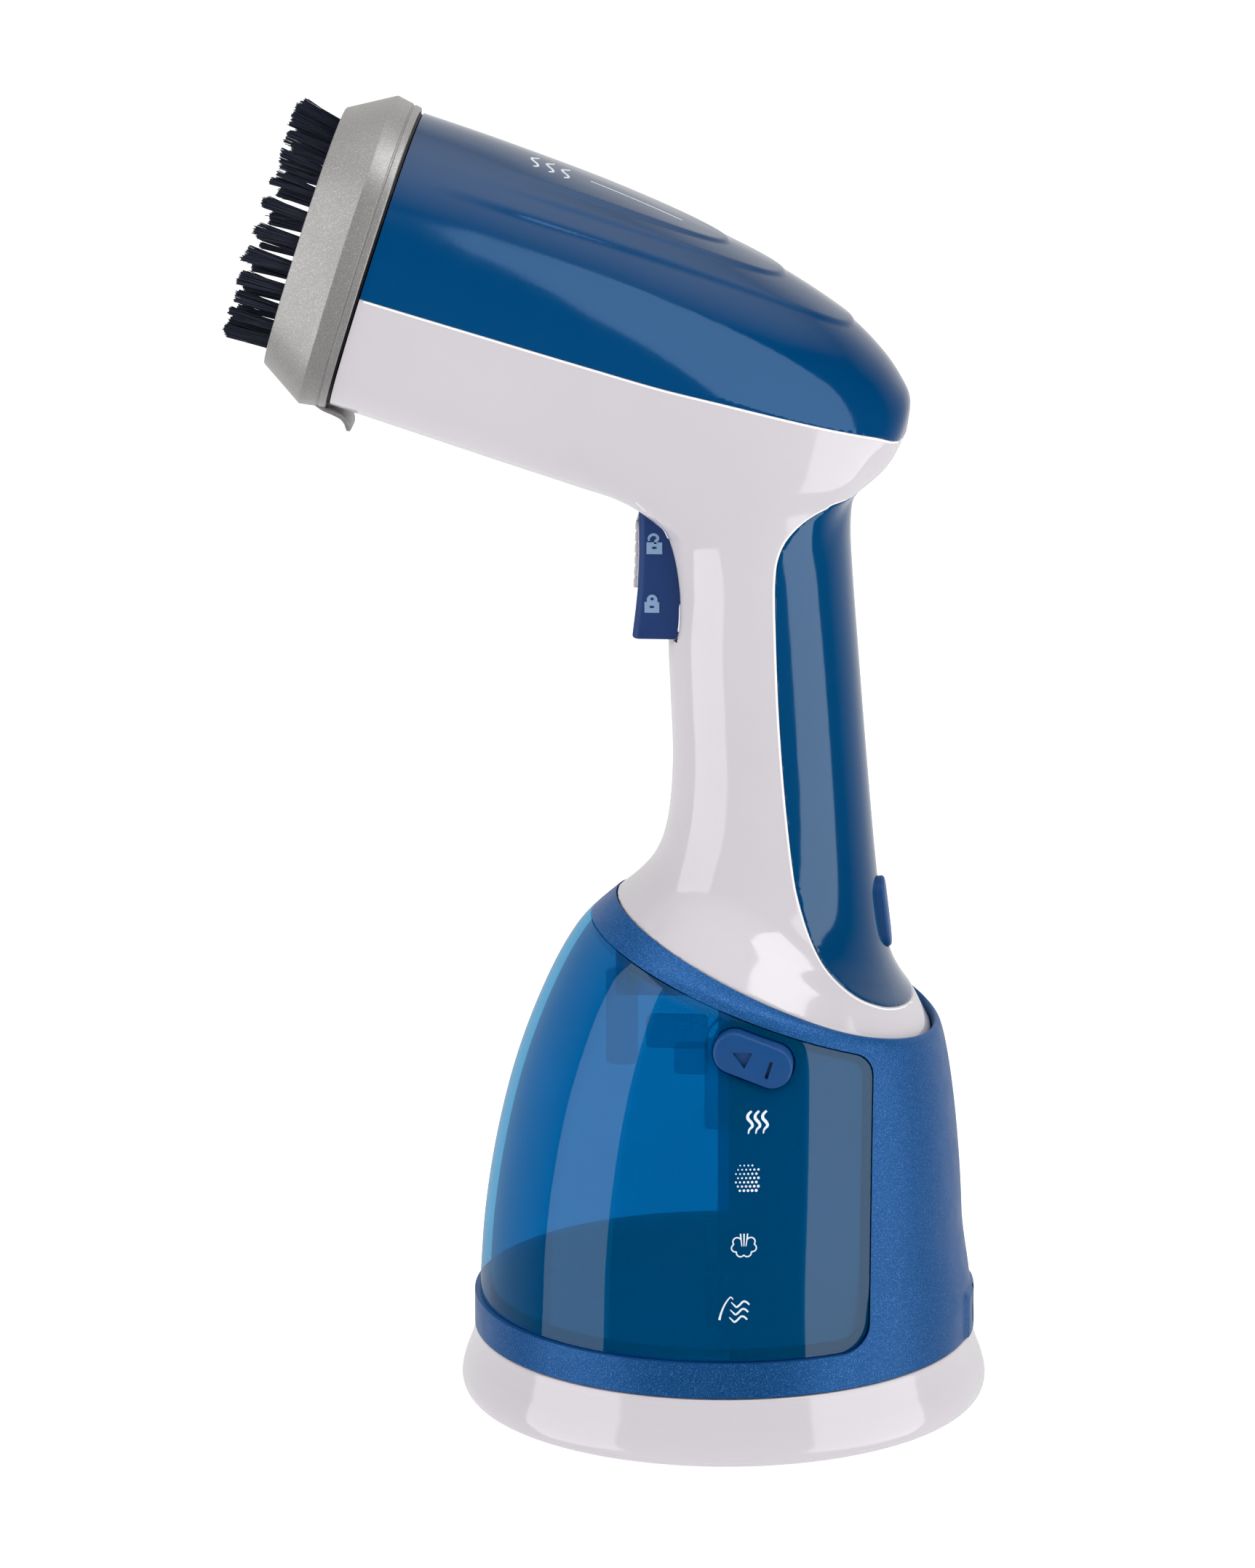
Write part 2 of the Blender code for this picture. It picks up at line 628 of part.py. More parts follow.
def make_steam_parts(metal, black, grey, copper):
    boiler = loft([face_ring(s, h, 24) for s, h in ((5.0, 24.0), (7.0, 25.0), (50.0, 23.0), (55.0, 20.0))])
    join(boiler, rod(head_point(54.0, 0.0, 0.0), head_point(58.0, 0.0, 0.0), 3.2))
    finish(boiler, "boiler", metal)

    plate = loft([face_ring(s, h, 32) for s, h in ((-7.6, 29.2), (-7.0, 29.8), (-4.0, 29.8))])
    join(plate, loft([face_ring(s, 25.0, 32) for s in (-4.6, 4.6)]))
    for y, v in STEAM_HOLES:
        cut(plate, rod(head_point(-9.0, y, v), head_point(-2.0, y, v), 1.3, 6))
    finish(plate, "steam_plate", metal)

    section = ((-GAP, 33.6), (-1.6, 33.6), (-1.6, 28.0), (-GAP, 28.0))
    finish(loft([face_ring(s, h) for s, h in section], hollow=True), "plate_gasket", black)

    thermostat = join(
        rod(head_point(24.0, 0.0, 24.7), head_point(24.0, 0.0, 28.2), 6.5),
        rod(head_point(24.0, 0.0, 28.0), head_point(24.0, 0.0, 29.6), 3.4),
    )
    finish(thermostat, "thermostat", copper)
    fuse = rod(head_point(30.0, -21.8, 4.0), head_point(44.0, -21.8, 4.0), 1.6, 12)
    finish(fuse, "thermal_fuse", grey)
    for number, v in enumerate((-26.8, 26.8), 1):
        screw = join(
            rod(head_point(-9.4, 0.0, v), head_point(-7.9, 0.0, v), 1.7, 12),
            rod(head_point(-8.4, 0.0, v), head_point(-7.9, 0.0, v), 1.0, 8),
        )
        finish(screw, f"plate_screw_{number}", STEEL)


STEAM_HOLES = tuple(
    (height * HEAD_RATIO * 0.62 * math.cos(angle), height * math.sin(angle))
    for height, count in ((16.5, 10), (8.0, 5))
    for angle in (2 * math.pi * i / count + 0.3 for i in range(count))
)


def make_brush(silver, bristle_black):
    section = (
        (-1.9, 35.2), (-6.7, 36.0), (-16.8, 29.9), (-16.8, 28.4), (-13.8, 28.4), (-13.8, 22.9),
        (-16.8, 22.9), (-16.8, 20.6), (-10.2, 20.6), (-10.2, 31.0), (-1.9, 31.0),
    )
    frame = loft([face_ring(s, h) for s, h in section], hollow=True)
    cut(frame, head_prism(((-6.6, -45.0), (-6.6, -32.4), (0.0, -32.4), (0.0, -45.0)), 7.2))
    finish(frame, "brush_frame", silver, head_point(-1.9, 0.0, 0.0))

    section = ((-14.1, 28.1), (-16.4, 28.1), (-16.4, 23.2), (-14.1, 23.2))
    bristles = loft([face_ring(s, h) for s, h in section], hollow=True)
    for y, v, lean_y, lean_v in tuft_places():
        root = Vector(head_point(-15.5, y, v))
        tip = Vector(head_point(-27.0, y + lean_y, v + lean_v))
        join(bristles, rod(root, tip, 1.5, 5, 1.9))
    finish(bristles, "bristle_ring", bristle_black, head_point(-14.1, 0.0, 0.0))

    lever = (
        (-5.9, -33.0), (-5.9, -34.9), (-1.2, -35.8), (1.5, -36.2), (3.4, -37.4), (4.8, -38.2),
        (5.7, -37.4), (4.2, -36.2), (2.6, -35.1), (-2.2, -34.9), (-2.7, -33.0),
    )
    latch = cut(head_prism(lever, 6.6), rod(pin_point(-9.0), pin_point(9.0), 0.8, 12))
    finish(latch, "brush_latch", silver, head_point(LATCH_PIN[0], 0.0, LATCH_PIN[1]))
    pin = rod(pin_point(-6.9), pin_point(6.9), 0.5, 8)
    finish(pin, "latch_pin", STEEL, head_point(LATCH_PIN[0], 0.0, LATCH_PIN[1]))


def pin_point(y):
    return head_point(LATCH_PIN[0], y, LATCH_PIN[1])


def tuft_places():
    """(y, v, lean in y, lean in v) of each tuft round the oval."""
    out = []
    for i in range(TUFT_COUNT):
        angle = 2 * math.pi * (i + 0.5) / TUFT_COUNT
        y, v = TUFT_LINE * HEAD_RATIO * math.cos(angle), TUFT_LINE * math.sin(angle)
        out.append((y, v, 0.9 * math.cos(angle), 1.4 * math.sin(angle)))
    return out


def make_trigger(blue, white, grey):
    outline = (
        (-19.3, 212.0), (-19.2, 206.0), (-19.1, 198.0), (-19.4, 190.0), (-19.9, 185.0), (-20.7, 178.4),
        (-12.6, 178.4), (-9.6, 182.0), (-8.6, 195.0), (-6.4, 206.0), (-6.6, 214.6), (-13.0, 215.4),
        (-17.6, 214.4),
    )
    lever = prism(outline, TRIGGER_HALF)
    px, pz = TRIGGER_PIVOT
    cut(lever, rod((px, -20.0, pz), (px, 20.0, pz), 1.5))
    cut(lever, box((-30.0, -4.6, 181.6), (-18.0, 4.6, 206.0)))
    cut(lever, box((-19.0, -2.0, 184.6), (-15.0, 2.0, 203.0)))
    finish(lever, "trigger", blue, (px, 0.0, pz))

    pin = rod((px, -13.0, pz), (px, 13.0, pz), 1.2)
    finish(pin, "trigger_pin", STEEL, (px, 0.0, pz))

    slider = box((-19.8, -4.2, 188.6), (-18.3, 4.2, 204.8))
    for i in range(6):
        low = 189.4 + 2.6 * i
        join(slider, box((-20.4, -3.8, low), (-19.2, 3.8, low + 1.5)))
    join(slider, box((-19.0, -1.6, 192.6), (-15.6, 1.6, 202.6)))
    finish(slider, "trigger_lock", white, (-18.3, 0.0, 196.7))

    spring = coil((-4.6, 0.0, 186.0), (-1.0, 0.0, 186.0), 2.4, 0.3, 4)
    finish(spring, "trigger_spring", STEEL)
    switch = join(
        box((-0.4, -3.2, 190.0), (5.0, 3.2, 208.0)),
        box((-2.0, -1.2, 196.0), (0.2, 1.2, 199.0)),
    )
    finish(switch, "microswitch", grey)


def make_power_button(blue, grey):
    button = power_plug(0.0, -6.0, 1.9, 0.86)
    finish(button, "power_button", blue, (POWER_CENTRE[0], 0.0, POWER_CENTRE[1]))
    switch = box((21.0, -5.0, 107.0), (27.0, 5.0, 119.0))
    finish(switch, "power_switch", grey)


clear_scene()
STEEL = material("steel", (0.55, 0.55, 0.56), 0.3, 1.0)
WHITE = material("gloss_white", (0.78, 0.76, 0.79), 0.15)
GLOSS_BLUE = material("gloss_blue", (0.0, 0.06, 0.17), 0.12)
SATIN_BLUE = material("satin_blue", (0.012, 0.09, 0.28), 0.35, 0.4)
TRIGGER_BLUE = material("trigger_blue", (0.014, 0.056, 0.262), 0.5)
CLEAR_BLUE = material("clear_blue", (0.0, 0.12, 0.3), 0.1, 0.0, 0.6)
DARK = material("dark_plastic", (0.02, 0.04, 0.1), 0.6)
GREY = material("grey_plastic", (0.3, 0.3, 0.31), 0.5)
SILVER = material("silver_plastic", (0.39, 0.38, 0.36), 0.4, 0.3)
BLACK = material("black_plastic", (0.02, 0.02, 0.022), 0.5)
RUBBER = material("rubber", (0.03, 0.03, 0.03), 0.8)
BRISTLE = material("bristle", (0.012, 0.014, 0.03), 0.6)
METAL = material("cast_aluminium", (0.6, 0.6, 0.6), 0.4, 1.0)
HOSE = material("silicone_hose", (0.7, 0.7, 0.68), 0.4)
GREEN = material("board_green", (0.02, 0.18, 0.06), 0.5)
ORANGE = material("silicone_seal", (0.6, 0.16, 0.03), 0.6)

make_housing(WHITE, GLOSS_BLUE)
make_base(WHITE, SATIN_BLUE, BLACK, RUBBER)
make_frame_and_pump(DARK, GREY, HOSE, GREEN, ORANGE)
make_tank(CLEAR_BLUE, SATIN_BLUE, GREY, RUBBER)
make_steam_parts(METAL, BLACK, GREY, ORANGE)
make_brush(SILVER, BRISTLE)
make_trigger(TRIGGER_BLUE, WHITE, GREY)
make_power_button(SATIN_BLUE, GREY)
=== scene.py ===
"""Looks for the handheld garment steamer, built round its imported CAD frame.

Lengths are in millimetres until a mesh is made, and the frame is the CAD's: +Z up, the steam head to -X.
"""

import math

import bmesh
import bpy
import numpy as np
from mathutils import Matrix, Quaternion, Vector
from mathutils.bvhtree import BVHTree


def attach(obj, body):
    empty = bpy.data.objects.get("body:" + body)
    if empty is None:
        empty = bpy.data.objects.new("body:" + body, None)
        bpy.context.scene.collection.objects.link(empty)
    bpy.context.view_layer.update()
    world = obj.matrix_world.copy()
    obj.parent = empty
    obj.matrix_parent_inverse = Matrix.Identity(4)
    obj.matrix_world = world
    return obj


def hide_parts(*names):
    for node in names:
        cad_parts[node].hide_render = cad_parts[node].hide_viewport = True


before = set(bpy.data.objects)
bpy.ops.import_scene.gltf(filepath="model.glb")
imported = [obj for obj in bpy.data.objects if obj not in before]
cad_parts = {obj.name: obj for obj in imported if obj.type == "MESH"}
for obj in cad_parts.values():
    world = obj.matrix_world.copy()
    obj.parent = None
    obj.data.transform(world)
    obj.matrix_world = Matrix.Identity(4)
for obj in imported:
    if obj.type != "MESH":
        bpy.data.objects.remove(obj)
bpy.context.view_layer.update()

MM = 0.001
AROUND, SKIN_STEPS, RAIL_STEPS = ((192, 14, 12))  # of the big lofts, round and along
GAP = 0.3  # between neighbouring mouldings
WALL = 2.2
RNG = np.random.default_rng(7)

# Slanted ovals up the base and the handle: x and z in front, x and z behind, half width.
BASE_SECTIONS = (
    (-55.9, 24.0, 55.4, 24.0, 55.5),
    (-54.6, 43.0, 54.5, 39.0, 54.4),
    (-51.6, 62.0, 53.8, 53.0, 52.4),
    (-47.0, 80.0, 52.6, 67.0, 49.4),
    (-40.5, 97.0, 51.0, 79.0, 45.6),
    (-34.0, 109.0, 49.4, 86.5, 42.2),
    (-27.5, 116.0, 46.8, 90.0, 39.0),
)
HANDLE_SECTIONS = (
    (-24.3, 118.3, 46.8, 87.0, 37.2),
    (-19.9, 122.1, 43.4, 93.8, 32.6),
    (-16.2, 126.5, 40.4, 98.5, 28.0),
    (-13.8, 132.0, 37.8, 104.0, 24.2),
    (-12.4, 140.0, 35.8, 112.0, 21.4),
    (-11.9, 151.0, 33.9, 128.0, 19.8),
    (-12.4, 164.0, 31.8, 151.0, 19.0),
    (-12.9, 177.0, 29.9, 174.0, 18.8),
    (-12.4, 190.0, 28.4, 193.0, 19.0),
    (-14.6, 201.0, 27.9, 203.5, 19.8),
    (-20.5, 209.0, 28.6, 210.6, 20.6),
    (-25.0, 217.0, 31.0, 217.0, 21.0),
    (-24.0, 228.0, 27.0, 227.0, 19.5),
)
# Ovals along the head: distance back from its front, height above and below the axis, half width.
HEAD_SECTIONS = (
    (0.0, 34.1, 34.1, 29.0),
    (20.0, 33.7, 34.3, 29.0),
    (48.0, 31.9, 34.5, 28.7),
    (73.0, 28.6, 34.3, 27.4),
    (91.0, 24.7, 31.8, 24.8),
    (104.0, 20.4, 27.0, 21.0),
    (113.0, 15.8, 21.0, 16.6),
    (119.0, 11.3, 14.6, 12.0),
    (122.6, 7.0, 7.9, 7.0),
    (124.0, 0.0, 0.0, 0.0),
)
HEAD_TILT = math.radians(17.6)
HEAD_FRONT = (-78.0, 262.7)
HEAD_RATIO = 29.0 / 34.1
SQUARENESS = 0.078  # how far the head's oval bulges at its corners, over an ellipse
STEP_LINES = ((14.2, 73.0, 14.0), (18.3, 87.0, 10.0), (22.0, 105.0, 2.0))  # half width, length, start
STEP_HEIGHT, STEP_RISE, STEP_FALL, STEP_POWER = 0.55, 1.7, 6.0, 2.5
# Parting lines and the trigger's slot, as (x, z) seen from the side.
COVER_LINE = (
    (-110.0, 268.4), (-78.2, 259.1), (-59.0, 253.5), (-43.6, 249.0), (-28.3, 244.5), (-13.0, 240.0),
    (2.4, 236.0), (17.6, 231.7), (32.8, 227.0), (40.7, 223.8), (60.0, 220.0),
)
GRIP_LINE = (
    (60.0, 89.0), (41.4, 95.3), (34.5, 98.6), (28.9, 102.6), (24.0, 107.7), (20.6, 113.7), (17.9, 121.5),
    (16.3, 129.5), (14.4, 146.0), (12.9, 166.0), (12.1, 187.8), (12.2, 196.1), (13.0, 200.6),
    (14.9, 204.4), (18.5, 208.0), (23.0, 210.4), (28.8, 211.8), (60.0, 213.0),
)
TRIGGER_LINE = (
    (-40.0, 212.6), (-19.4, 211.6), (-16.8, 208.6), (-14.4, 205.1), (-12.9, 201.5), (-11.6, 196.6),
    (-10.7, 191.0), (-10.3, 185.5), (-10.5, 181.4), (-11.2, 179.0), (-12.4, 178.0), (-40.0, 177.9),
)
LINE_GAP, SEAM_GAP, EDGE_SINK, SLOT_SINK = 0.05, 0.04, 0.16, 0.4
FILLET_FORE, FILLET_SIDE = 3.0, 16.0  # reach of the fillet between head and handle
SHELL = 2.0
RIM_SHIFT, RIM_RADIUS, RIM_PROUD = 0.36, 0.3, 0.09
TRIGGER_HALF, LOCK_HALF = 8.2, 4.2
TANK_ROOF, TANK_SLOPE, TANK_REAR, TANK_CORNER = 102.3, -0.367, 35.3, 6.0
BAND_TOP, BAND_RADIUS, RING_TOP, FOOT_RADIUS = 24.3, 56.8, 16.0, 54.0
NECK_SLOPE, CORD_HEIGHT, RING_DEPTH = 0.44, 21.5, 2.4
BAY_FRONT, BAY_HALF = 2.6, 29.4
WELL_FRONT, WELL_HALF, WELL_FLOOR = -21.6, 11.6, 99.5
CAP_X, VALVE_Z = -10.0, 33.4
BUTTON_CENTRE, BUTTON_TILT, BUTTON_LEAN = (8.9, 44.0, 91.9), math.radians(20.0), 0.32
BUTTON_SIZE, POWER_SIZE = (18.6, 9.6), (16.4, 8.6)
POWER_CENTRE, POWER_LEAN = (35.6, 114.2), math.radians(7.1)
FAR = 90.0  # past the object on every side


# Meshes


def new_object(name, data):
    made = bpy.data.objects.new(name, data)
    bpy.context.scene.collection.objects.link(made)
    return made


def discard(made):
    bpy.data.objects.remove(made, do_unlink=True)


def mesh_piece(points, faces):
    mesh = bpy.data.meshes.new("piece")
    mesh.from_pydata((np.asarray(points, float) * MM).tolist(), [], faces)
    return new_object("piece", mesh)


def triples(items, key, kind=float):
    """A value of three numbers of each of a mesh's items, as rows."""
    out = np.empty(len(items) * 3, kind)
    items.foreach_get(key, out)
    return out.reshape(-1, 3)


def move_points(made, points):
    made.data.vertices.foreach_set("co", (points * MM).ravel())
    made.data.update()


def apply_modifiers(made):
    graph = bpy.context.evaluated_depsgraph_get()
    mesh = bpy.data.meshes.new_from_object(made.evaluated_get(graph))
    made.modifiers.clear()
    made.data = mesh
    return made


def outward(made):
    bm = bmesh.new()
    bm.from_mesh(made.data)
    bmesh.ops.recalc_face_normals(bm, faces=bm.faces)
    bm.to_mesh(made.data)
    bm.free()
    return made


def band_faces(rows, count, first=0, hollow=False):
    """Faces between neighbouring rings of count points each, whose points are numbered from first."""
    faces = []
    for r in range(rows if hollow else rows - 1):
        a, b = first + r * count, first + (r + 1) % rows * count
        faces += [(a + i, a + (i + 1) % count, b + (i + 1) % count, b + i) for i in range(count)]
    return faces


def loft(rings, hollow=False):
    """A closed mesh through rings of equal length; a hollow one joins its last ring to its first."""
    rings = np.asarray(rings, float)
    rows, count, _ = rings.shape
    faces = band_faces(rows, count, hollow=hollow)
    if not hollow:
        faces += [tuple(range(count)), tuple(range((rows - 1) * count, rows * count))]
    return outward(mesh_piece(rings.reshape(-1, 3), faces))


def unit(rows):
    return rows / np.linalg.norm(rows, axis=1)[:, None]


def smooth_path(points, steps):
    """Catmull-Rom through rows of numbers."""
    p = np.asarray(points, float)
    p = np.vstack((p[0], p, p[-1]))
    t = (np.arange(steps) / steps)[:, None]
    out = []
    for a, b, c, d in zip(p, p[1:], p[2:], p[3:]):
        cubic = 2 * a - 5 * b + 4 * c - d + t * (3 * b - a - 3 * c + d)
        out.append(b + 0.5 * t * (c - a + t * cubic))
    return np.vstack((*out, p[-1]))


def circle(count):
    turn = 2 * np.pi * np.arange(count) / count
    return np.cos(turn), np.sin(turn)


def oval(count, square=SQUARENESS):
    c, s = circle(count)
    return c * (1 + square * s * s), s * (1 + square * c * c)


def head_point(s, y, v):
    """A place s back along the head's axis, y to the side and v above it."""
    s, y, v = np.broadcast_arrays(s, y, v)
    c, k = math.cos(HEAD_TILT), math.sin(HEAD_TILT)
    return np.stack((HEAD_FRONT[0] + s * c + v * k, y + 0.0 * s, HEAD_FRONT[1] - s * k + v * c), -1)


def head_frame(points):
    """The (s, y, v) of places in the object's frame."""
    c, k = math.cos(HEAD_TILT), math.sin(HEAD_TILT)
    x, z = points[:, 0] - HEAD_FRONT[0], points[:, 2] - HEAD_FRONT[1]
    return x * c - z * k, points[:, 1], x * k + z * c


def face_ring(s, height, count=AROUND):
    c, k = oval(count)
    return head_point(s, height * HEAD_RATIO * c, height * k)


def rail_ring(section, inset=0.0, drop=0.0):
    """The oval of a section of the base or handle, drawn in by inset and lowered by drop."""
    fx, fz, rx, rz, half = section
    c, k = circle(AROUND)
    middle = np.array([(fx + rx) / 2, 0.0, (fz + rz) / 2 - drop])
    arm = np.array([(rx - fx) / 2, 0.0, (rz - fz) / 2])
    size = np.linalg.norm(arm)
    return middle + np.outer(c, arm) * (size - inset) / size + np.outer(k, [0.0, half - inset, 0.0])


def turned(profile, centre=(0.0, 0.0, 0.0), count=AROUND):
    """A solid from a profile of (radius, height) turned about the vertical, with its ends on the axis."""
    c, s = circle(count)
    x, y, z = centre
    return loft([np.stack((x + r * c, y + r * s, z + h + 0 * c), -1) for r, h in profile[1:-1]])


def turned_across(levels, height):
    """A solid through (x, radius) levels, turned about a line along X at this height."""
    c, s = circle(48)
    return loft([np.stack((x + 0 * c, r * c, height + r * s), -1) for x, r in levels])


def rounded(profile, radii, steps):
    """A closed outline with each corner replaced by an arc of its own radius."""
    p = [np.array(q, float) for q in profile]
    out = []
    for i, (q, radius) in enumerate(zip(p, np.broadcast_to(radii, len(p)))):
        before, after = p[i - 1] - q, p[(i + 1) % len(p)] - q
        la, lb = np.linalg.norm(before), np.linalg.norm(after)
        one, two = before / la, after / lb
        angle = math.acos(max(-1.0, min(1.0, float(one @ two)))) / 2
        if radius <= 0 or angle > 1.52:
            out.append(tuple(q))
            continue
        reach = min(radius / math.tan(angle), 0.48 * la, 0.48 * lb)
        start, end = q + one * reach, q + two * reach
        for t in np.linspace(0, 1, steps + 1):
            # A rational quadratic whose middle has this weight is a true arc.
            w = 2 * t * (1 - t) * math.sin(angle)
            out.append(tuple((start * (1 - t) ** 2 + q * w + end * t * t) / ((1 - t) ** 2 + w + t * t)))
    return out


def prism(outline, half, centre=0.0, lift=None):
    """An outline in the XZ plane (or lift's own plane), extruded along Y to both sides of the centre."""
    place = lift or (lambda a, y, b: np.stack((a, y + 0 * a, b), -1))
    a, b = np.array(outline, float).T
    return loft([place(a, np.full_like(a, centre + side), b) for side in (-half, half)])


def block(low, high):
    outline = ((low[0], low[2]), (high[0], low[2]), (high[0], high[2]), (low[0], high[2]))
    return prism(outline, (high[1] - low[1]) / 2, (high[1] + low[1]) / 2)


def boolean(target, tool, operation):
    modifier = target.modifiers.new("cut", "BOOLEAN")
    modifier.operation = operation
    modifier.solver = "MANIFOLD"
    modifier.object = tool
    apply_modifiers(target)
    if not len(target.data.polygons):
        raise ValueError("a cut left nothing")
    discard(tool)
    return target


def cut(target, *tools):
    for tool in tools:
        boolean(target, tool, "DIFFERENCE")
    return target


def twin(made):
    return new_object(made.name, made.data.copy())


def bevelled(made, width, segments):
    modifier = made.modifiers.new("bevel", "BEVEL")
    modifier.width = width * MM
    modifier.segments = segments
    modifier.limit_method = "ANGLE"
    modifier.angle_limit = math.radians(40.0)
    return apply_modifiers(made)


def joined(pieces):
    """One object from several."""
    bm = bmesh.new()
    for piece in pieces:
        bm.from_mesh(piece.data)
        discard(piece)
    mesh = bpy.data.meshes.new("piece")
    bm.to_mesh(mesh)
    bm.free()
    return new_object("piece", mesh)


def stroke(path, widths, face, steps=6, low=-0.12, high=0.07):
    """A raised line along a path; face puts its two-number places on a surface at a height above it."""
    path = smooth_path(path, steps)
    widths = np.interp(np.linspace(0, 1, len(path)), np.linspace(0, 1, len(widths)), widths)
    along = unit(np.gradient(path, axis=0))
    across = np.stack((-along[:, 1], along[:, 0]), 1) * widths[:, None] / 2
    corners = ((-1.0, low), (-0.8, high), (0.8, high), (1.0, low))
    return loft(np.stack([face(path + across * side, height) for side, height in corners], 1))


def badge(outline, face, low=-0.12, high=0.07, hole=None):
    """A raised flat shape with this outline, and a hole if given one whose outline has as many points."""
    rings = [face(outline, low), face(outline, high)]
    if hole is not None:
        rings += [face(hole, high), face(hole, low)]
    return loft(rings, hollow=hole is not None)


def ellipse(x, z, width, height, count):
    c, s = circle(count)
    return np.stack((x + width / 2 * c, z + height / 2 * s), 1)


def dress(made, name, look, body, *nodes, slot, sharp=35.0):
    """Names a finished piece and gives it its material, its body and the CAD nodes it replaces; the slot
    argument is not used.
    """
    made.name = name
    made.data.name = name
    made.data.materials.clear()
    made.data.materials.append(look)
    made.data.shade_smooth()
    made.data.set_sharp_from_angle(angle=math.radians(sharp))
    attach(made, body)
    if nodes:
        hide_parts(*nodes)


# Materials


DRIFT_SCALE, GLOSS_SCALE, FLECK_SCALE = 22.0, 160.0, 4200.0  # of the noise in moulded plastic, per metre


class Nodes:
    """The shader nodes of a new material or world. An input takes a number, a colour or an output."""

    def __init__(self, owner):
        owner.use_nodes = True
        self.owner = owner
        self.all = owner.node_tree.nodes
        self.link = owner.node_tree.links.new

    def feed(self, slots, *values):
        for slot, value in zip(slots, values):
            if isinstance(value, bpy.types.NodeSocket):
                self.link(value, slot)
            else:
                slot.default_value = (*value, 1.0) if isinstance(value, tuple) else value

    def put(self, node, **values):
        """Feeds a node's inputs by name, with _ for each space."""
        for name, value in values.items():
            self.feed([node.inputs[name.replace("_", " ")]], value)
        return node

    def add(self, kind, **values):
        return self.put(self.all.new("ShaderNode" + kind), **values)

    def noise(self, scale, detail=2.0):
        where = self.add("TexCoord").outputs["Object"]
        return self.add("TexNoise", Vector=where, Scale=scale, Detail=detail).outputs["Fac"]

    def ramp(self, source, low, high, a, b):
        """Maps source from low..high to a..b."""
        made = self.add("MapRange", Value=source, From_Min=low, From_Max=high, To_Min=a, To_Max=b)
        return made.outputs["Result"]

    def bump(self, height, distance):
        return self.add("Bump", Height=height, Distance=distance * MM, Strength=1.0).outputs["Normal"]

    def math(self, operation, one, two):
        made = self.add("Math")
        made.operation = operation
        self.feed(made.inputs, one, two)
        return made.outputs[0]

    def mix(self, factor, one, two, kind="RGBA"):
        """Mixes two colours, or two numbers where kind is FLOAT."""
        made = self.add("Mix")
        made.data_type = kind
        first, out = (6, 2) if kind == "RGBA" else (2, 0)
        self.feed((made.inputs[0], *made.inputs[first : first + 2]), factor, one, two)
        return made.outputs[out]

    def blend(self, factor, one, two):
        """Mixes two shaders."""
        made = self.add("MixShader")
        self.feed(made.inputs, factor, one, two)
        return made.outputs[0]

    def shader(self, **values):
        """Feeds a material's main shader, and returns the material."""
        self.put(self.all["Principled BSDF"], **values)
        return self.owner


def plastic(name, one, two, rough, grain, depth, metallic=0.0, coat=0.0, specular=0.5, fleck=0.0):
    """Moulded plastic: a drift between two colours, uneven gloss, a fine grain and perhaps metal flecks."""
    g = Nodes(bpy.data.materials.new(name))
    colour = g.mix(g.ramp(g.noise(DRIFT_SCALE, 3.0), 0.35, 0.65, 0.0, 1.0), one, two)
    if fleck:
        sparkle = g.ramp(g.noise(FLECK_SCALE, 1.0), 0.52, 0.72, 0.0, fleck)
        colour = g.mix(sparkle, colour, tuple(min(1.0, 3.2 * c + 0.12) for c in one))
    gloss = g.ramp(g.noise(GLOSS_SCALE, 3.0), 0.3, 0.7, rough * 0.88, rough * 1.12)
    return g.shader(Base_Color=colour, Roughness=gloss, Normal=g.bump(g.noise(grain), depth),
                    Metallic=metallic, Specular_IOR_Level=specular, Coat_Weight=coat, Coat_Roughness=0.06)


def clear_plastic(name, tint, gloss, cloud):
    """Tinted see-through plastic: light passes straight through, and the surface still shines."""
    g = Nodes(bpy.data.materials.new(name))
    g.all.remove(g.all["Principled BSDF"])
    drift = g.ramp(g.noise(30.0), 0.3, 0.7, 0.0, 1.0)
    through = g.add("BsdfTransparent", Color=g.mix(drift, tint, tuple(0.94 * c for c in tint)))
    body = g.add("BsdfDiffuse", Color=(0.0, 0.22, 0.5))
    shine = g.add("BsdfGlossy", Roughness=gloss, Normal=g.bump(g.noise(60.0, 1.0), 0.01))
    haze = g.blend(cloud, through.outputs[0], body.outputs[0])
    steep = g.math("POWER", g.add("LayerWeight", Blend=0.5).outputs["Facing"], 5.0)
    surface = g.blend(g.ramp(steep, 0.0, 1.0, 0.045, 0.6), haze, shine.outputs[0])
    g.put(g.all["Material Output"], Surface=surface)
    return g.owner


def metal(name, colour, rough):
    g = Nodes(bpy.data.materials.new(name))
    tone = g.mix(g.noise(120.0, 4.0), colour, tuple(0.8 * c for c in colour))
    gloss = g.ramp(g.noise(700.0, 4.0), 0.3, 0.7, rough * 0.8, rough * 1.25)
    return g.shader(Base_Color=tone, Roughness=gloss, Normal=g.bump(g.noise(1500.0, 3.0), 0.01), Metallic=1.0)


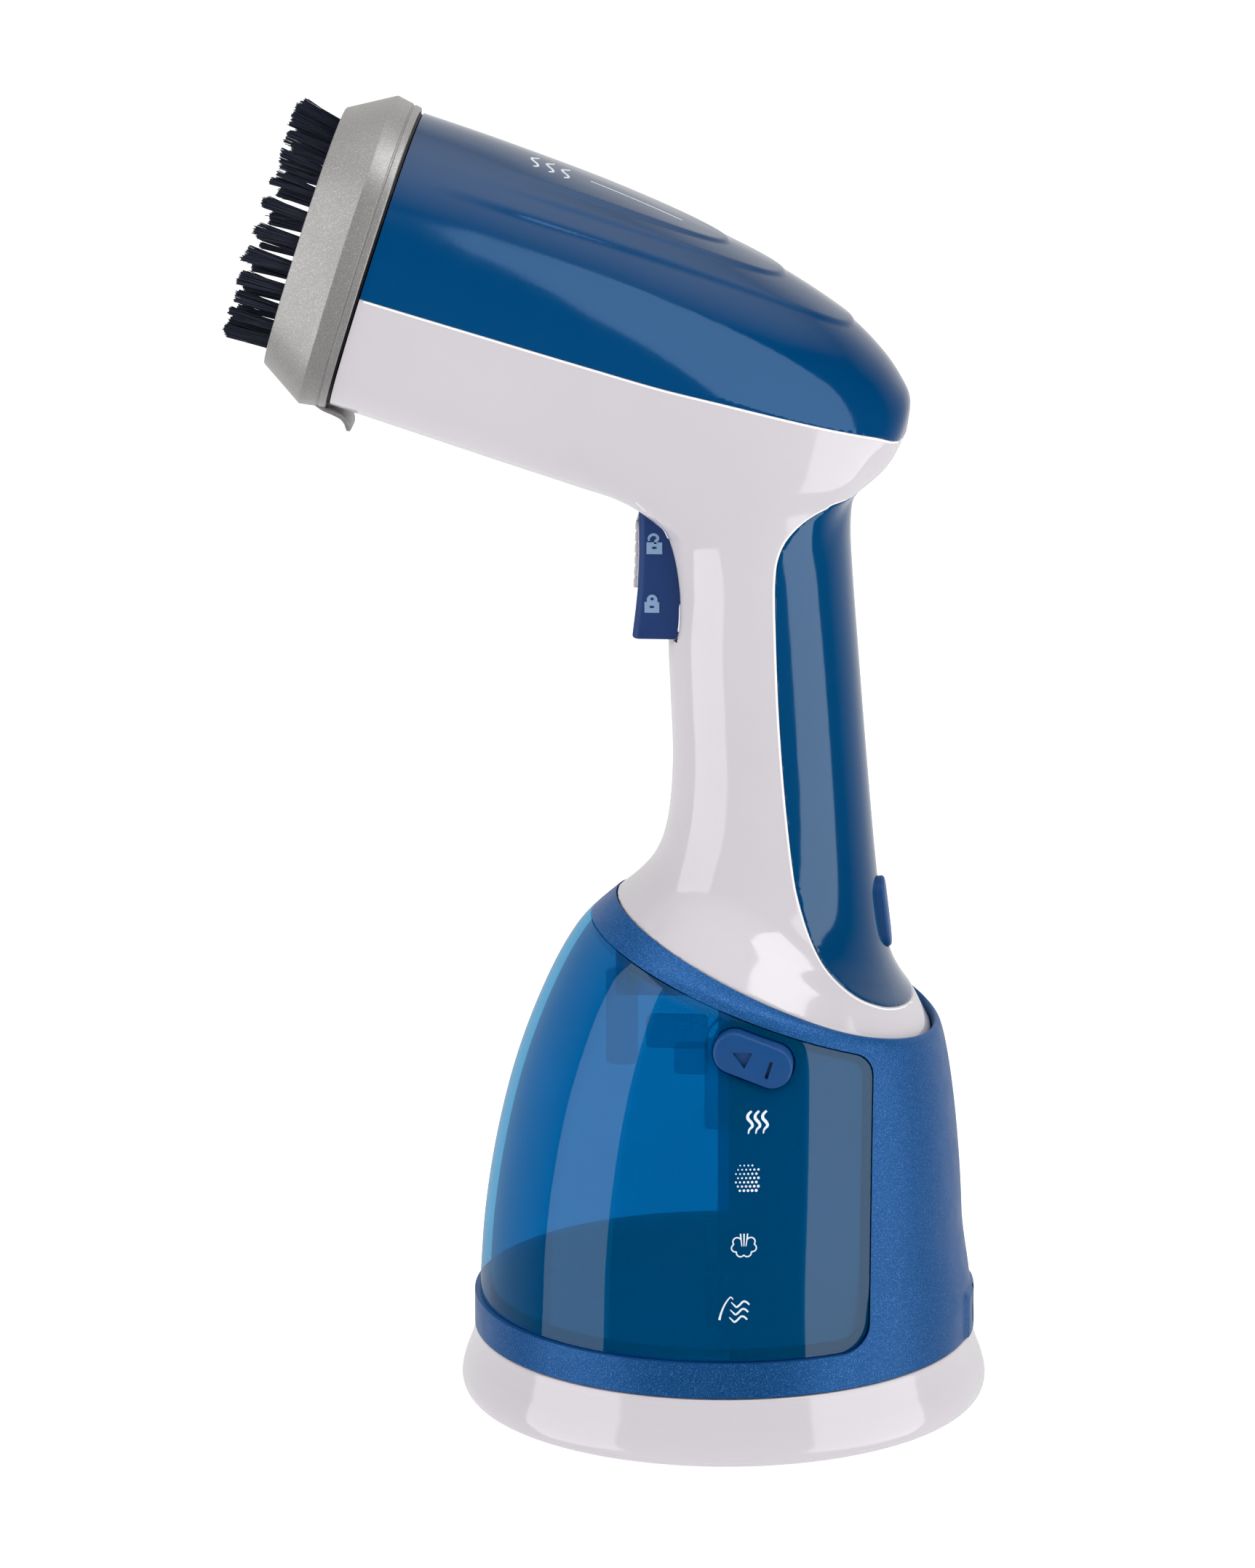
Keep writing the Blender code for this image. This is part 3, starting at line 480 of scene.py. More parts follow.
WHITE = plastic("white plastic", (0.555, 0.527, 0.56), (0.54, 0.513, 0.545), 0.1, 900.0, 0.004, coat=0.4)
# A brighter copy of the white plastic for the edge rims: painted highlight along the white edges at the
# parting lines.
PAINTED_HIGHLIGHT_RIM = plastic("white rim", (0.86, 0.85, 0.88), (0.84, 0.83, 0.86), 0.2, 900.0, 0.004, coat=0.4)
BLUE = plastic("gloss blue plastic", (0.0, 0.055, 0.16), (0.0, 0.05, 0.148), 0.1, 900.0, 0.004, coat=0.4)
SATIN = plastic("satin blue plastic", (0.002, 0.062, 0.205), (0.001, 0.057, 0.19), 0.36, 5200.0, 0.012, 0.3,
                specular=0.2, fleck=0.35)
TRIGGER = plastic("trigger blue plastic", (0.006, 0.036, 0.155), (0.005, 0.032, 0.14), 0.45, 5000.0, 0.015,
                  specular=0.3)
BUTTON = plastic("button blue plastic", (0.004, 0.06, 0.21), (0.003, 0.054, 0.19), 0.4, 4200.0, 0.012,
                 specular=0.3)
SILVER = plastic("silver plastic", (0.33, 0.322, 0.315), (0.31, 0.303, 0.297), 0.36, 5200.0, 0.02, 0.45,
                 fleck=0.25)
GREY = plastic("grey plastic", (0.3, 0.3, 0.31), (0.27, 0.27, 0.28), 0.5, 3000.0, 0.015)
DARK = plastic("dark blue plastic", (0.01, 0.09, 0.26), (0.008, 0.08, 0.235), 0.5, 2500.0, 0.015)
BLACK = plastic("black plastic", (0.02, 0.02, 0.022), (0.014, 0.014, 0.016), 0.5, 2500.0, 0.02)
RUBBER = plastic("rubber", (0.028, 0.028, 0.029), (0.02, 0.02, 0.021), 0.75, 1800.0, 0.04)
FIBRE = plastic("bristle nylon", (0.017, 0.02, 0.038), (0.024, 0.028, 0.05), 0.45, 2500.0, 0.005,
                specular=0.3)
CLEAR = clear_plastic("clear blue plastic", (0.18, 0.6, 0.8), 0.03, 0.16)
INNER = clear_plastic("clear inner plastic", (0.5, 0.76, 0.86), 0.2, 0.04)
HOSE = plastic("silicone hose", (0.7, 0.7, 0.68), (0.64, 0.64, 0.62), 0.4, 800.0, 0.01)
BOARD = plastic("board green", (0.02, 0.18, 0.06), (0.015, 0.13, 0.045), 0.4, 1500.0, 0.02)
SEAL = plastic("silicone seal", (0.6, 0.16, 0.03), (0.52, 0.13, 0.025), 0.6, 1500.0, 0.02)
PRINT = plastic("pale print", (0.75, 0.78, 0.82), (0.7, 0.73, 0.78), 0.4, 3000.0, 0.003)
PALE = plastic("pale blue print", (0.2, 0.32, 0.5), (0.18, 0.29, 0.46), 0.5, 3000.0, 0.003)
STEEL = metal("steel", (0.58, 0.58, 0.6), 0.25)
CAST = metal("cast aluminium", (0.62, 0.62, 0.63), 0.42)


# Camera, lights and floor


VIEW_AZIMUTH, VIEW_ELEVATION, VIEW_DISTANCE, LENS = 4.0, 14.7, 1.9, 193.1
VIEW_CENTRE, BOX_CENTRE, BOX_DISTANCE = (-0.02213818, 0.0, 0.14281084), (0.0, 0.0, 0.15), 1.5


def direction(azimuth, elevation):
    """From the object this way, in degrees: azimuth 0 is the near side, + to the right."""
    a, e = math.radians(azimuth), math.radians(elevation)
    return Vector((math.sin(a) * math.cos(e), -math.cos(a) * math.cos(e), math.sin(e)))


def camera():
    back = direction(VIEW_AZIMUTH, VIEW_ELEVATION)
    data = bpy.data.cameras.new("camera")
    data.lens = LENS
    data.sensor_width = 36.0
    data.clip_start, data.clip_end = 0.05, 60.0
    made = new_object("camera", data)
    made.location = Vector(VIEW_CENTRE) + back * VIEW_DISTANCE
    made.rotation_mode = "QUATERNION"
    made.rotation_quaternion = (-back).to_track_quat("-Z", "Y")
    bpy.context.scene.camera = made


def softbox(name, azimuth, elevation, size, radiance, colour=(1.0, 1.0, 1.0), roll=0.0, shape="RECTANGLE"):
    """An area light in this direction; its size is the angle that it covers across and up."""
    away = direction(azimuth, elevation)
    data = bpy.data.lights.new(name, "AREA")
    data.shape = shape
    data.color = colour
    data.size, data.size_y = (2 * BOX_DISTANCE * math.tan(math.radians(angle) / 2) for angle in size)
    data.energy = radiance * math.pi * data.size * data.size_y
    made = new_object(name, data)
    made.location = Vector(BOX_CENTRE) + away * BOX_DISTANCE
    made.rotation_mode = "QUATERNION"
    turn = Quaternion((0.0, 0.0, 1.0), math.radians(roll))
    made.rotation_quaternion = away.to_track_quat("Z", "Y") @ turn
    return made


def light_only(light, piece):
    """Lets a light fall on one piece alone."""
    only = bpy.data.collections.new(f"{light.name} only")
    only.objects.link(piece)
    light.light_linking.receiver_collection = only


def spare_from(name, *pieces):
    """Keeps a named light off these pieces."""
    spared = bpy.data.collections.new(f"spared from {name}")
    for piece in pieces:
        spared.objects.link(piece)
    for member in spared.collection_objects:
        member.light_linking.link_state = "EXCLUDE"
    bpy.data.objects[name].light_linking.receiver_collection = spared


def surroundings():
    """A white studio, even for diffuse light; gloss sees it bright behind and overhead, dark in front."""
    world = bpy.data.worlds.new("studio")
    bpy.context.scene.world = world
    g = Nodes(world)
    parts = g.add("SeparateXYZ", Vector=g.add("TexCoord").outputs["Generated"]).outputs
    behind = g.ramp(parts["Y"], 0.0, 0.8, 0.0, 0.75)
    above = g.ramp(parts["Z"], 0.55, 1.0, 0.0, 1.3)
    ray = g.add("LightPath").outputs
    glossy = g.mix(ray["Is Glossy Ray"], 0.4, g.math("MAXIMUM", behind, above), "FLOAT")
    seen = g.mix(ray["Is Camera Ray"], glossy, 1.0, "FLOAT")
    g.put(g.all["Background"], Color=(1.0, 1.0, 1.0), Strength=seen)
    softbox("left box", -66.0, 0.0, (46.0, 84.0), 1.8)
    softbox("right box", 70.0, -5.0, (56.0, 70.0), 1.9)
    softbox("high box", 66.0, 52.0, (34.0, 22.0), 3.6)
    softbox("top box", -20.0, 64.0, (60.0, 40.0), 1.1).visible_glossy = False


def floor():
    half = 12000.0
    corners = ((-half, -half, 0.0), (half, -half, 0.0), (half, half, 0.0), (-half, half, 0.0))
    made = mesh_piece(corners, [(0, 1, 2, 3)])
    made.name = "floor"
    made.location = (0.0, 4.0, -0.0002)
    g = Nodes(bpy.data.materials.new("floor"))
    tone = g.mix(g.noise(3.0), (0.9, 0.9, 0.9), (0.88, 0.88, 0.885))
    made.data.materials.append(g.shader(Base_Color=tone, Roughness=0.7, Specular_IOR_Level=0.1,
                                        Emission_Color=(1.0, 1.0, 1.0), Emission_Strength=0.62))
    made.visible_glossy = False


bpy.context.scene.view_settings.view_transform = "Standard"
camera()
surroundings()
floor()


# The moulded skin of head, handle and neck

TRIGGER_RIM = smooth_path(TRIGGER_LINE[1:-1], 6)


def head_loft():
    first, *sections = smooth_path(HEAD_SECTIONS, SKIN_STEPS)[:-1]
    c, k = oval(AROUND)
    rings = []
    for s, up, down, half in ((-7.0, *first[1:]), first, *sections):
        rings.append(head_point(s, half * c, np.where(k > 0, up, down) * k))
    tip = len(rings) * AROUND
    faces = band_faces(len(rings), AROUND)
    faces += [(tip - AROUND + i, tip - AROUND + (i + 1) % AROUND, tip) for i in range(AROUND)]
    faces.append(tuple(range(AROUND)))
    points = np.vstack((*rings, head_point(HEAD_SECTIONS[-1][0], 0.0, 0.0)))
    return outward(mesh_piece(points, faces))


def handle_loft():
    sections = smooth_path(HANDLE_SECTIONS, SKIN_STEPS)
    return loft([rail_ring(sections[0], 0.0, 7.0), *map(rail_ring, sections)])


def surface_of(made):
    """A tree of the mesh's triangles, with the smooth normals of their corners, in millimetres."""
    mesh = made.data
    mesh.calc_loop_triangles()
    points = triples(mesh.vertices, "co") / MM
    triangles = triples(mesh.loop_triangles, "vertices", np.int32)
    tree = BVHTree.FromPolygons(points.tolist(), triangles.tolist())
    return tree, points, triangles, triples(mesh.vertex_normals, "vector")


def signed_distance(surface, places):
    """Each place's distance from a surface, negative inside, and the surface's direction outward there."""
    tree, points, triangles, normals = surface
    index = np.empty(len(places), np.int64)
    near = np.empty((len(places), 3))
    for i, place in enumerate(places.tolist()):
        hit, _, face, _ = tree.find_nearest(place)
        index[i] = face
        near[i] = hit
    corner = triangles[index]
    a, b, c = points[corner[:, 0]], points[corner[:, 1]], points[corner[:, 2]]
    ab, ac, ap = b - a, c - a, near - a
    d00, d01, d11 = (ab * ab).sum(1), (ab * ac).sum(1), (ac * ac).sum(1)
    d20, d21 = (ap * ab).sum(1), (ap * ac).sum(1)
    den = np.maximum(d00 * d11 - d01 * d01, 1e-12)
    v, w = (d11 * d20 - d01 * d21) / den, (d00 * d21 - d01 * d20) / den
    n = unit(sum(normals[corner[:, i]] * part[:, None] for i, part in enumerate((1 - v - w, v, w))))
    away = places - near
    distance = np.linalg.norm(away, axis=1) * np.where((away * n).sum(1) < 0, -1.0, 1.0)
    far = np.abs(distance) > 0.3  # nearer, the line from the surface is too short to give a direction
    n[far] = away[far] / distance[far, None]
    return distance, n


def smoothstep(value, low, high):
    t = np.clip((value - low) / (high - low), 0.0, 1.0)
    return t * t * (3 - 2 * t)


def blended(head, handle, places):
    """As signed_distance, for head and handle joined by a fillet that is wide at the sides."""
    d1, n1 = signed_distance(head, places)
    d2, n2 = signed_distance(handle, places)
    reach = FILLET_FORE + (FILLET_SIDE - FILLET_FORE) * smoothstep(np.abs(places[:, 1]), 4.0, 17.0)
    h = np.maximum(reach - np.abs(d1 - d2), 0.0) / reach
    distance = np.minimum(d1, d2) - h**3 * reach / 6
    weight = np.where(d1 < d2, 1 - h * h / 2, h * h / 2)
    normal = n1 * weight[:, None] + n2 * (1 - weight)[:, None]
    return distance, unit(normal)


def step_height(points):
    """Three nested U-shaped ridges on top of the head: each rises at its line and falls away inside it."""
    s, y, v = head_frame(points)
    height = np.zeros(len(points))
    for half, length, start in STEP_LINES:
        a, b = np.abs(y) / half, np.maximum(s, 0.0) / length
        gauge = np.maximum((a**STEP_POWER + b**STEP_POWER) ** (1 / STEP_POWER), 1e-6)
        slope_y = (a / gauge) ** (STEP_POWER - 1) / half
        slope_s = (b / gauge) ** (STEP_POWER - 1) / length
        inside = (1 - gauge) / np.hypot(slope_y, slope_s)
        ridge = smoothstep(inside, -STEP_RISE / 2, STEP_RISE / 2)
        ridge *= np.exp(-np.maximum(inside, 0.0) / STEP_FALL)
        height += STEP_HEIGHT * ridge * smoothstep(s, start, start + 30.0)
    return height * smoothstep(v, 2.0, 9.0)


def off_line(points, line):
    """Distance of each point from a line of (x, z), seen from the side."""
    p = points[:, [0, 2]]
    best = np.full(len(p), 1e9)
    for a, b in zip(np.asarray(line)[:-1], np.asarray(line)[1:]):
        t = np.clip(((p - a) @ (b - a)) / ((b - a) @ (b - a)), 0.0, 1.0)
        best = np.minimum(best, np.linalg.norm(p - a - t[:, None] * (b - a), axis=1))
    return best


def soften(made, surface, *lines):
    """Draws a piece's outer edges in a little where it was cut along the lines."""
    points = triples(made.data.vertices, "co") / MM
    near = np.zeros(len(points), bool)
    for line in lines:
        near |= off_line(points, line) < 0.14
    distance, normal = signed_distance(surface, points[near])
    shell = np.abs(distance) < 0.05
    points[np.flatnonzero(near)[shell]] -= normal[shell] * EDGE_SINK
    move_points(made, points)


def side_path(surface, line, shift):
    """Places and normals where a line of (x, z), moved across itself, lies on a surface's near side."""
    path = smooth_path(line, 10)
    along = unit(np.gradient(path, axis=0))
    path = path + np.stack((-along[:, 1], along[:, 0]), 1) * shift
    places, normals = [], []
    for x, z in path.tolist():
        hit, normal, _, _ = surface[0].ray_cast(Vector((x, -FAR, z)), Vector((0.0, 1.0, 0.0)))
        if hit and hit.y < -1.0 and head_frame(np.array([hit]))[0][0] > 0.0:
            places.append(tuple(hit))
            normals.append(tuple(normal))
    return np.array(places), np.array(normals)


def bead(places, normals):
    """A fine round rim along places on a surface."""
    along = unit(np.gradient(places, axis=0))
    across = np.cross(along, normals)
    centre = places + normals * (RIM_PROUD - RIM_RADIUS)
    turn = np.transpose(circle(8))
    return loft([[m + RIM_RADIUS * (a * c + n * s) for c, s in turn]
                 for m, a, n in zip(centre, across, normals)])


def cast_on(tree, start, way):
    """For stroke and badge: puts places (a, b) on a surface, where the ray from start(a, b) meets it."""
    def face(places, height):
        out = []
        for a, b in np.asarray(places, float).tolist():
            hit, normal, _, _ = tree.ray_cast(Vector(start(a, b)), Vector(way))
            out.append(tuple(hit + normal * height))
        return np.array(out)

    return face


def build_rims(surface):
    """Raised rims along the white edges at the covers and at the trigger's slot, in a brighter white that
    paints the highlight line along those edges.
    """
    pieces = []
    for line, shift in ((COVER_LINE, -RIM_SHIFT), (GRIP_LINE, RIM_SHIFT), (TRIGGER_LINE[1:-1], RIM_SHIFT)):
        places, normals = side_path(surface, line, shift)
        for side in (1.0, -1.0):
            mirror = np.array((1.0, side, 1.0))
            pieces.append(bead(places * mirror, normals * mirror))
    # The rims' brighter white is a painted highlight line, not a different plastic.
    dress(joined(pieces), "visual_edge_rims", PAINTED_HIGHLIGHT_RIM, "body", slot="gloss_white", sharp=80.0)


def build_head_marks(surface):
    """Three plain waves of steam and a line, printed on top of the head."""
    down = head_point(0.0, 0.0, -1.0) - head_point(0.0, 0.0, 0.0)
    face = cast_on(surface[0], lambda s, y: head_point(s, y, 60.0), down)
    wave = ((0.0, -3.4), (0.9, -2.3), (0.5, -1.1), (-0.6, 0.1), (-0.9, 1.3), (0.0, 2.4), (0.6, 3.4))
    paths = [(wave + np.array((27.0 + 3.6 * k, -4.6)), (0.5, 0.8, 0.8, 0.5)) for k in range(3)]
    paths.append((((40.0, -3.4), (50.0, -3.0), (62.0, -2.6)), (0.5, 0.5)))
    pieces = [stroke(path, widths, face, low=-0.1, high=0.05) for path, widths in paths]
    dress(joined(pieces), "visual_head_marks", PRINT, "body", slot="gloss_white", sharp=30.0)


def skin(voxel, offset):
    """The housing as a solid at this voxel size: its detailed outside, or a plain one drawn in by offset."""
    lofts = head_loft(), handle_loft()
    surfaces = [surface_of(made) for made in lofts]
    made = joined(lofts)
    modifier = made.modifiers.new("remesh", "REMESH")
    modifier.mode = "VOXEL"
    modifier.voxel_size = voxel * MM
    mesh = apply_modifiers(made).data
    points = triples(mesh.vertices, "co") / MM
    loose = (head_frame(points)[0] > -5.0) & (points[:, 2] > 105.0 - NECK_SLOPE * points[:, 0])
    for _ in range(3):
        distance, normal = blended(*surfaces, points[loose])
        points[loose] -= normal * distance[:, None]
    if offset:
        points[loose] -= normal * offset
        points[~loose] -= triples(mesh.vertex_normals, "vector")[~loose] * offset
    else:
        slot_edge = off_line(points[loose], TRIGGER_RIM) + np.maximum(np.abs(points[loose, 1]) - 15.0, 0.0)
        rise = step_height(points[loose]) - SLOT_SINK * (1 - smoothstep(slot_edge, 0.0, 1.1))
        points[loose] += normal * rise[:, None]
    move_points(made, points)
    return made


def build_housing():
    outer = skin(0.6, 0.0)
    surface = surface_of(outer)
    inner = skin(1.6, SHELL)
    front = head_point(np.array([-40.0, 0.0, 0.0, -40.0]), 0.0, np.array([-FAR, -FAR, FAR, FAR]))
    cut(outer, prism(front[:, [0, 2]], FAR))
    low = [(x, 105.2 - NECK_SLOPE * x) for x in (-FAR, FAR)]
    cut(outer, prism([*low, (FAR, 20.0), (-FAR, 20.0)], FAR), inner)
    cover_line, grip_line = smooth_path(COVER_LINE, 10), smooth_path(GRIP_LINE, 8)

    def above(lift):
        line = [(x, z + lift) for x, z in cover_line]
        return prism([*line, (60.0, 330.0), (-110.0, 330.0)], 60.0)

    def behind(back):
        turn = np.linspace(-1.0, 1.0, len(grip_line))
        return prism(grip_line + np.stack((back + 0 * turn, -back * turn), 1), 60.0)

    cover = boolean(twin(outer), above(LINE_GAP), "INTERSECT")
    grip = boolean(twin(outer), behind(LINE_GAP), "INTERSECT")
    cut(grip, power_plug(GAP, -12.0, 8.0))
    slot = prism([TRIGGER_LINE[0], *TRIGGER_RIM, TRIGGER_LINE[-1]], TRIGGER_HALF + 0.45)
    room = block((-20.6, -TRIGGER_HALF - 0.6, 177.9), (-5.0, TRIGGER_HALF + 0.6, 212.0))
    cut(outer, above(-LINE_GAP), behind(-LINE_GAP), slot, room)
    for piece in (outer, cover, grip):
        soften(piece, surface, cover_line, grip_line)
    near_half = block((-130.0, -80.0, 60.0), (80.0, -SEAM_GAP, 330.0))
    far_half = block((-130.0, SEAM_GAP, 60.0), (80.0, 80.0, 330.0))
    left = boolean(twin(outer), near_half, "INTERSECT")
    right = boolean(outer, far_half, "INTERSECT")
    build_rims(surface)
    build_head_marks(surface)
    dress(left, "visual_housing_left", WHITE, "body", "housing_left", slot="gloss_white")
    dress(right, "visual_housing_right", WHITE, "body", "housing_right", slot="gloss_white")
    dress(cover, "visual_head_cover", BLUE, "body", "head_top_cover", slot="gloss_blue")
    dress(grip, "visual_grip_cover", BLUE, "body", "rear_grip_cover", slot="gloss_blue")
    lens = softbox("cover box", 32.8, -2.0, (46.6, 88.0), 1.6, (0.45, 0.7, 1.0), 23.3, "ELLIPSE")
    light_only(lens, cover)
    light_only(softbox("grip box", 53.0, -5.0, (40.0, 70.0), 2.2, (0.75, 0.9, 1.0)), grip)
    for name in ("right box", "high box"):
        spare_from(name, cover, grip)


# Base


def pill(length, width):
    straight, radius = (length - width) / 2, width / 2
    turn = math.pi * (np.arange(25) / 24 - 0.5)
    u, w = straight + radius * np.cos(turn), radius * np.sin(turn)
    return np.concatenate((u, -u)), np.concatenate((w, -w))


def plug_levels(inner, outer, edge, size, grow):
    """Along a pill-shaped plug with a rounded outer edge: each ring's distance out, and its outline."""
    turns = np.linspace(0, math.pi / 2, 7)
    levels = [(outer - edge * (1 - math.sin(t)), edge * (1 - math.cos(t))) for t in turns]
    for distance, inset in ((inner, 0.0), *levels):
        yield distance, *pill(*(length + 2 * grow - 2 * inset for length in size))


def button_plug(side, grow, inner, outer, edge=0.8, lean=BUTTON_LEAN):
    """A release button's shape, across the tank's side; its outer face leans as the side does."""
    cx, _, cz = BUTTON_CENTRE
    rings = []
    for distance, u, w in plug_levels(inner, outer, edge, BUTTON_SIZE, grow):
        x = cx + u * math.cos(BUTTON_TILT) + w * math.sin(BUTTON_TILT)
        z = cz - u * math.sin(BUTTON_TILT) + w * math.cos(BUTTON_TILT)
        y = distance - lean * (z - cz) * (distance > inner)
        rings.append(np.stack((x, side * y, z), -1))
    return loft(rings)


def power_plug(grow, inner, outer, edge=1.0):
    nx, nz = math.cos(POWER_LEAN), math.sin(POWER_LEAN)
    cx, cz = POWER_CENTRE
    rings = []
    for distance, u, w in plug_levels(inner, outer, edge, POWER_SIZE, grow):
        rings.append(np.stack((cx + distance * nx - u * nz, w, cz + distance * nz + u * nx), -1))
    return loft(rings)


def tank_outline(inset, corner=TANK_CORNER):
    """The tank's outline seen from the side, open to the front."""
    rear, low, high, ahead = TANK_REAR - inset, BAND_TOP + inset, TANK_ROOF - inset, -80.0
    roof = [(x, high + TANK_SLOPE * x) for x in (rear, ahead)]
    return rounded(((ahead, low), (rear, low), *roof), (0.0, corner, corner, 0.0), 10)


def levelled(ring, height):
    """A copy of a ring, flat at this height."""
    flat = ring.copy()
    flat[:, 2] = height
    return flat


def base_solid(inset, steps=RAIL_STEPS):
    """The base's whole shape, drawn in by inset, from a little under the tank's floor to the ring's top."""
    rings = [rail_ring(section, inset) for section in smooth_path(BASE_SECTIONS, steps)]
    return loft([levelled(rings[0], 20.0), *rings])


def build_base():
    edge, lip_edge = 1.5, 0.35
    sections = (*BASE_SECTIONS[:-1], (-29.4, 114.2, 47.8, 89.3, 39.9))
    outer = []
    for section in smooth_path(sections, RAIL_STEPS):
        flare = 1.0 - smoothstep((section[1] + section[3]) / 2, BAND_TOP, 46.0)
        ring = rail_ring(section, -1.15 * flare)
        x, y, z = ring.T
        boss = (x > 0) * (1 - smoothstep(np.abs(y), 9.6, 11.2)) * (1 - smoothstep(z, 25.6, 26.8))
        ring[:, 0] += 0.75 * boss
        outer.append(ring)
    top = outer[-1]
    lip = rail_ring(HANDLE_SECTIONS[0], -GAP)
    inward = unit(lip - top)
    down = unit(outer[-2] - top)
    arc = [top + down * edge * (1 - t) ** 2 + inward * edge * t**2 for t in np.linspace(0, 1, 7)]
    kept = [ring for ring in outer[:-1] if np.linalg.norm(ring - top, axis=1).min() > edge * 1.15]
    sink = np.array([0.0, 0.0, -lip_edge])
    lip_arc = [lip - inward * lip_edge * (1 - t) ** 2 + sink * t**2 for t in np.linspace(0, 1, 4)]
    under = rail_ring(HANDLE_SECTIONS[0], -GAP, RING_DEPTH)
    inside = [rail_ring(section, WALL, RING_DEPTH) for section in smooth_path(BASE_SECTIONS, 3)[::-1]]
    inside = [ring for ring in inside if ring[:, 2].min() > 24.0]
    last = rail_ring(BASE_SECTIONS[0], WALL)
    foot = RING_TOP + GAP
    rings = [levelled(outer[0], foot), *kept, *arc, *lip_arc, under, *inside, last, levelled(last, foot)]
    made = loft(rings, hollow=True)
    hole = turned_across(((45.0, 4.6), (65.0, 4.6)), CORD_HEIGHT)
    cut(made, prism(tank_outline(0.0), 80.0), hole)
    dress(made, "visual_base_shell", SATIN, "body", "base_shell", slot="satin_blue")
    light_only(softbox("ring box", -25.0, 66.0, (60.0, 16.0), 3.2), made)

    levels = ((50.5, 4.3), (55.0, 4.3), (56.4, 4.25), (56.8, 4.0), (57.0, 3.6), (57.0, 2.9), (56.6, 2.6),
              (52.0, 2.5))
    dress(turned_across(levels, CORD_HEIGHT), "visual_cord_gland", RUBBER, "body", "cord_gland", slot="rubber")

    curve = ((57.0, 0.6), (58.3, 0.9), (59.2, 1.7), (59.75, 2.8), (60.0, 4.2), (59.9, 5.6), (59.5, 7.3),
             (58.9, 9.2), (58.2, 11.0), (57.6, 12.8), (57.1, 14.3), (56.85, 15.4), (56.6, 15.85),
             (56.2, RING_TOP))
    below = ((0.0, 3.6), (FOOT_RADIUS + 0.4, 3.6), (FOOT_RADIUS + 0.4, 0.6))
    made = turned([*below, *smooth_path(curve, 6), (53.0, RING_TOP), (53.0, 7.0), (0.0, 7.0)])
    for angle in (90.0, 210.0, 330.0):
        x, y = 40.0 * math.cos(math.radians(angle)), 40.0 * math.sin(math.radians(angle))
        cut(made, turned(((0.0, -1.0), (1.9, -1.0), (1.9, 9.0), (0.0, 9.0)), (x, y, 0.0), 24))
    dress(made, "visual_base_ring", WHITE, "body", "base_ring", slot="gloss_white", sharp=50.0)

    profile = ((0.0, 0.0), (53.2, 0.0), (53.65, 0.12), (53.9, 0.4), (FOOT_RADIUS, 0.7), (FOOT_RADIUS, 1.5),
               (0.0, 1.5))
    dress(turned(profile), "visual_foot_pad", RUBBER, "body", "foot_pad", slot="rubber", sharp=50.0)


# Tank


def tank_solid(inset, corner):
    """The tank's outside, or with an inset the room inside it."""
    made = base_solid(inset)
    boolean(made, prism(tank_outline(GAP + inset, corner), 80.0), "INTERSECT")
    bay = block((BAY_FRONT - inset, -BAY_HALF - inset, 0.0), (80.0, BAY_HALF + inset, 130.0))
    low = (WELL_FRONT - inset, -WELL_HALF - inset, WELL_FLOOR - inset)
    return cut(made, bay, block(low, (20.0, WELL_HALF + inset, 130.0)))


def build_tank():
    tank, room = tank_solid(0.0, TANK_CORNER), tank_solid(WALL, 4.0)
    for side in (-1, 1):
        cut(room, button_plug(side, GAP + 1.6, 35.4, 60.0))
        cut(tank, button_plug(side, GAP, 37.0, 60.0))
    mouth = ((0.0, 90.0), (7.0, 90.0), (7.0, 110.0), (0.0, 110.0))
    outlet = turned_across(((-6.0, 4.3), (6.0, 4.3)), VALVE_Z)
    cut(tank, room, turned(mouth, (CAP_X, 0.0, 0.0), 48), outlet)
    dress(tank, "visual_tank", CLEAR, "tank", "water_tank", slot="clear_blue")
    light_only(softbox("tank box", -71.0, 0.0, (36.0, 84.0), 1.7, (0.8, 0.93, 1.0)), tank)
    spare_from("left box", tank)

    arrow = rounded(((4.3, 93.75), (8.9, 93.75), (7.05, 90.1)), 0.2, 3)
    bar = ((12.75, 91.9), (13.45, 91.65), (12.25, 87.9), (11.55, 88.15))
    for side, name in ((-1, "left"), (1, "right")):
        made = button_plug(side, -0.15, 40.6, 46.4, 0.75, 0.12)
        cut(made, *(prism(outline, 1.0, side * 46.5) for outline in (arrow, bar)))
        dress(made, f"visual_release_button_{name}", BUTTON, f"button_{name}", f"release_button_{name}",
              slot="satin_blue", sharp=40.0)


# Brush attachment


TUFTS, TUFT_FOOT, TUFT_OVAL, TUFT_RADIUS, TUFT_REACH = 28, -15.5, 25.6, 1.16, 11.2
FIBRE_RADIUS, FIBRE_SIDES, FIBRE_ROWS = 0.14, 3, 4


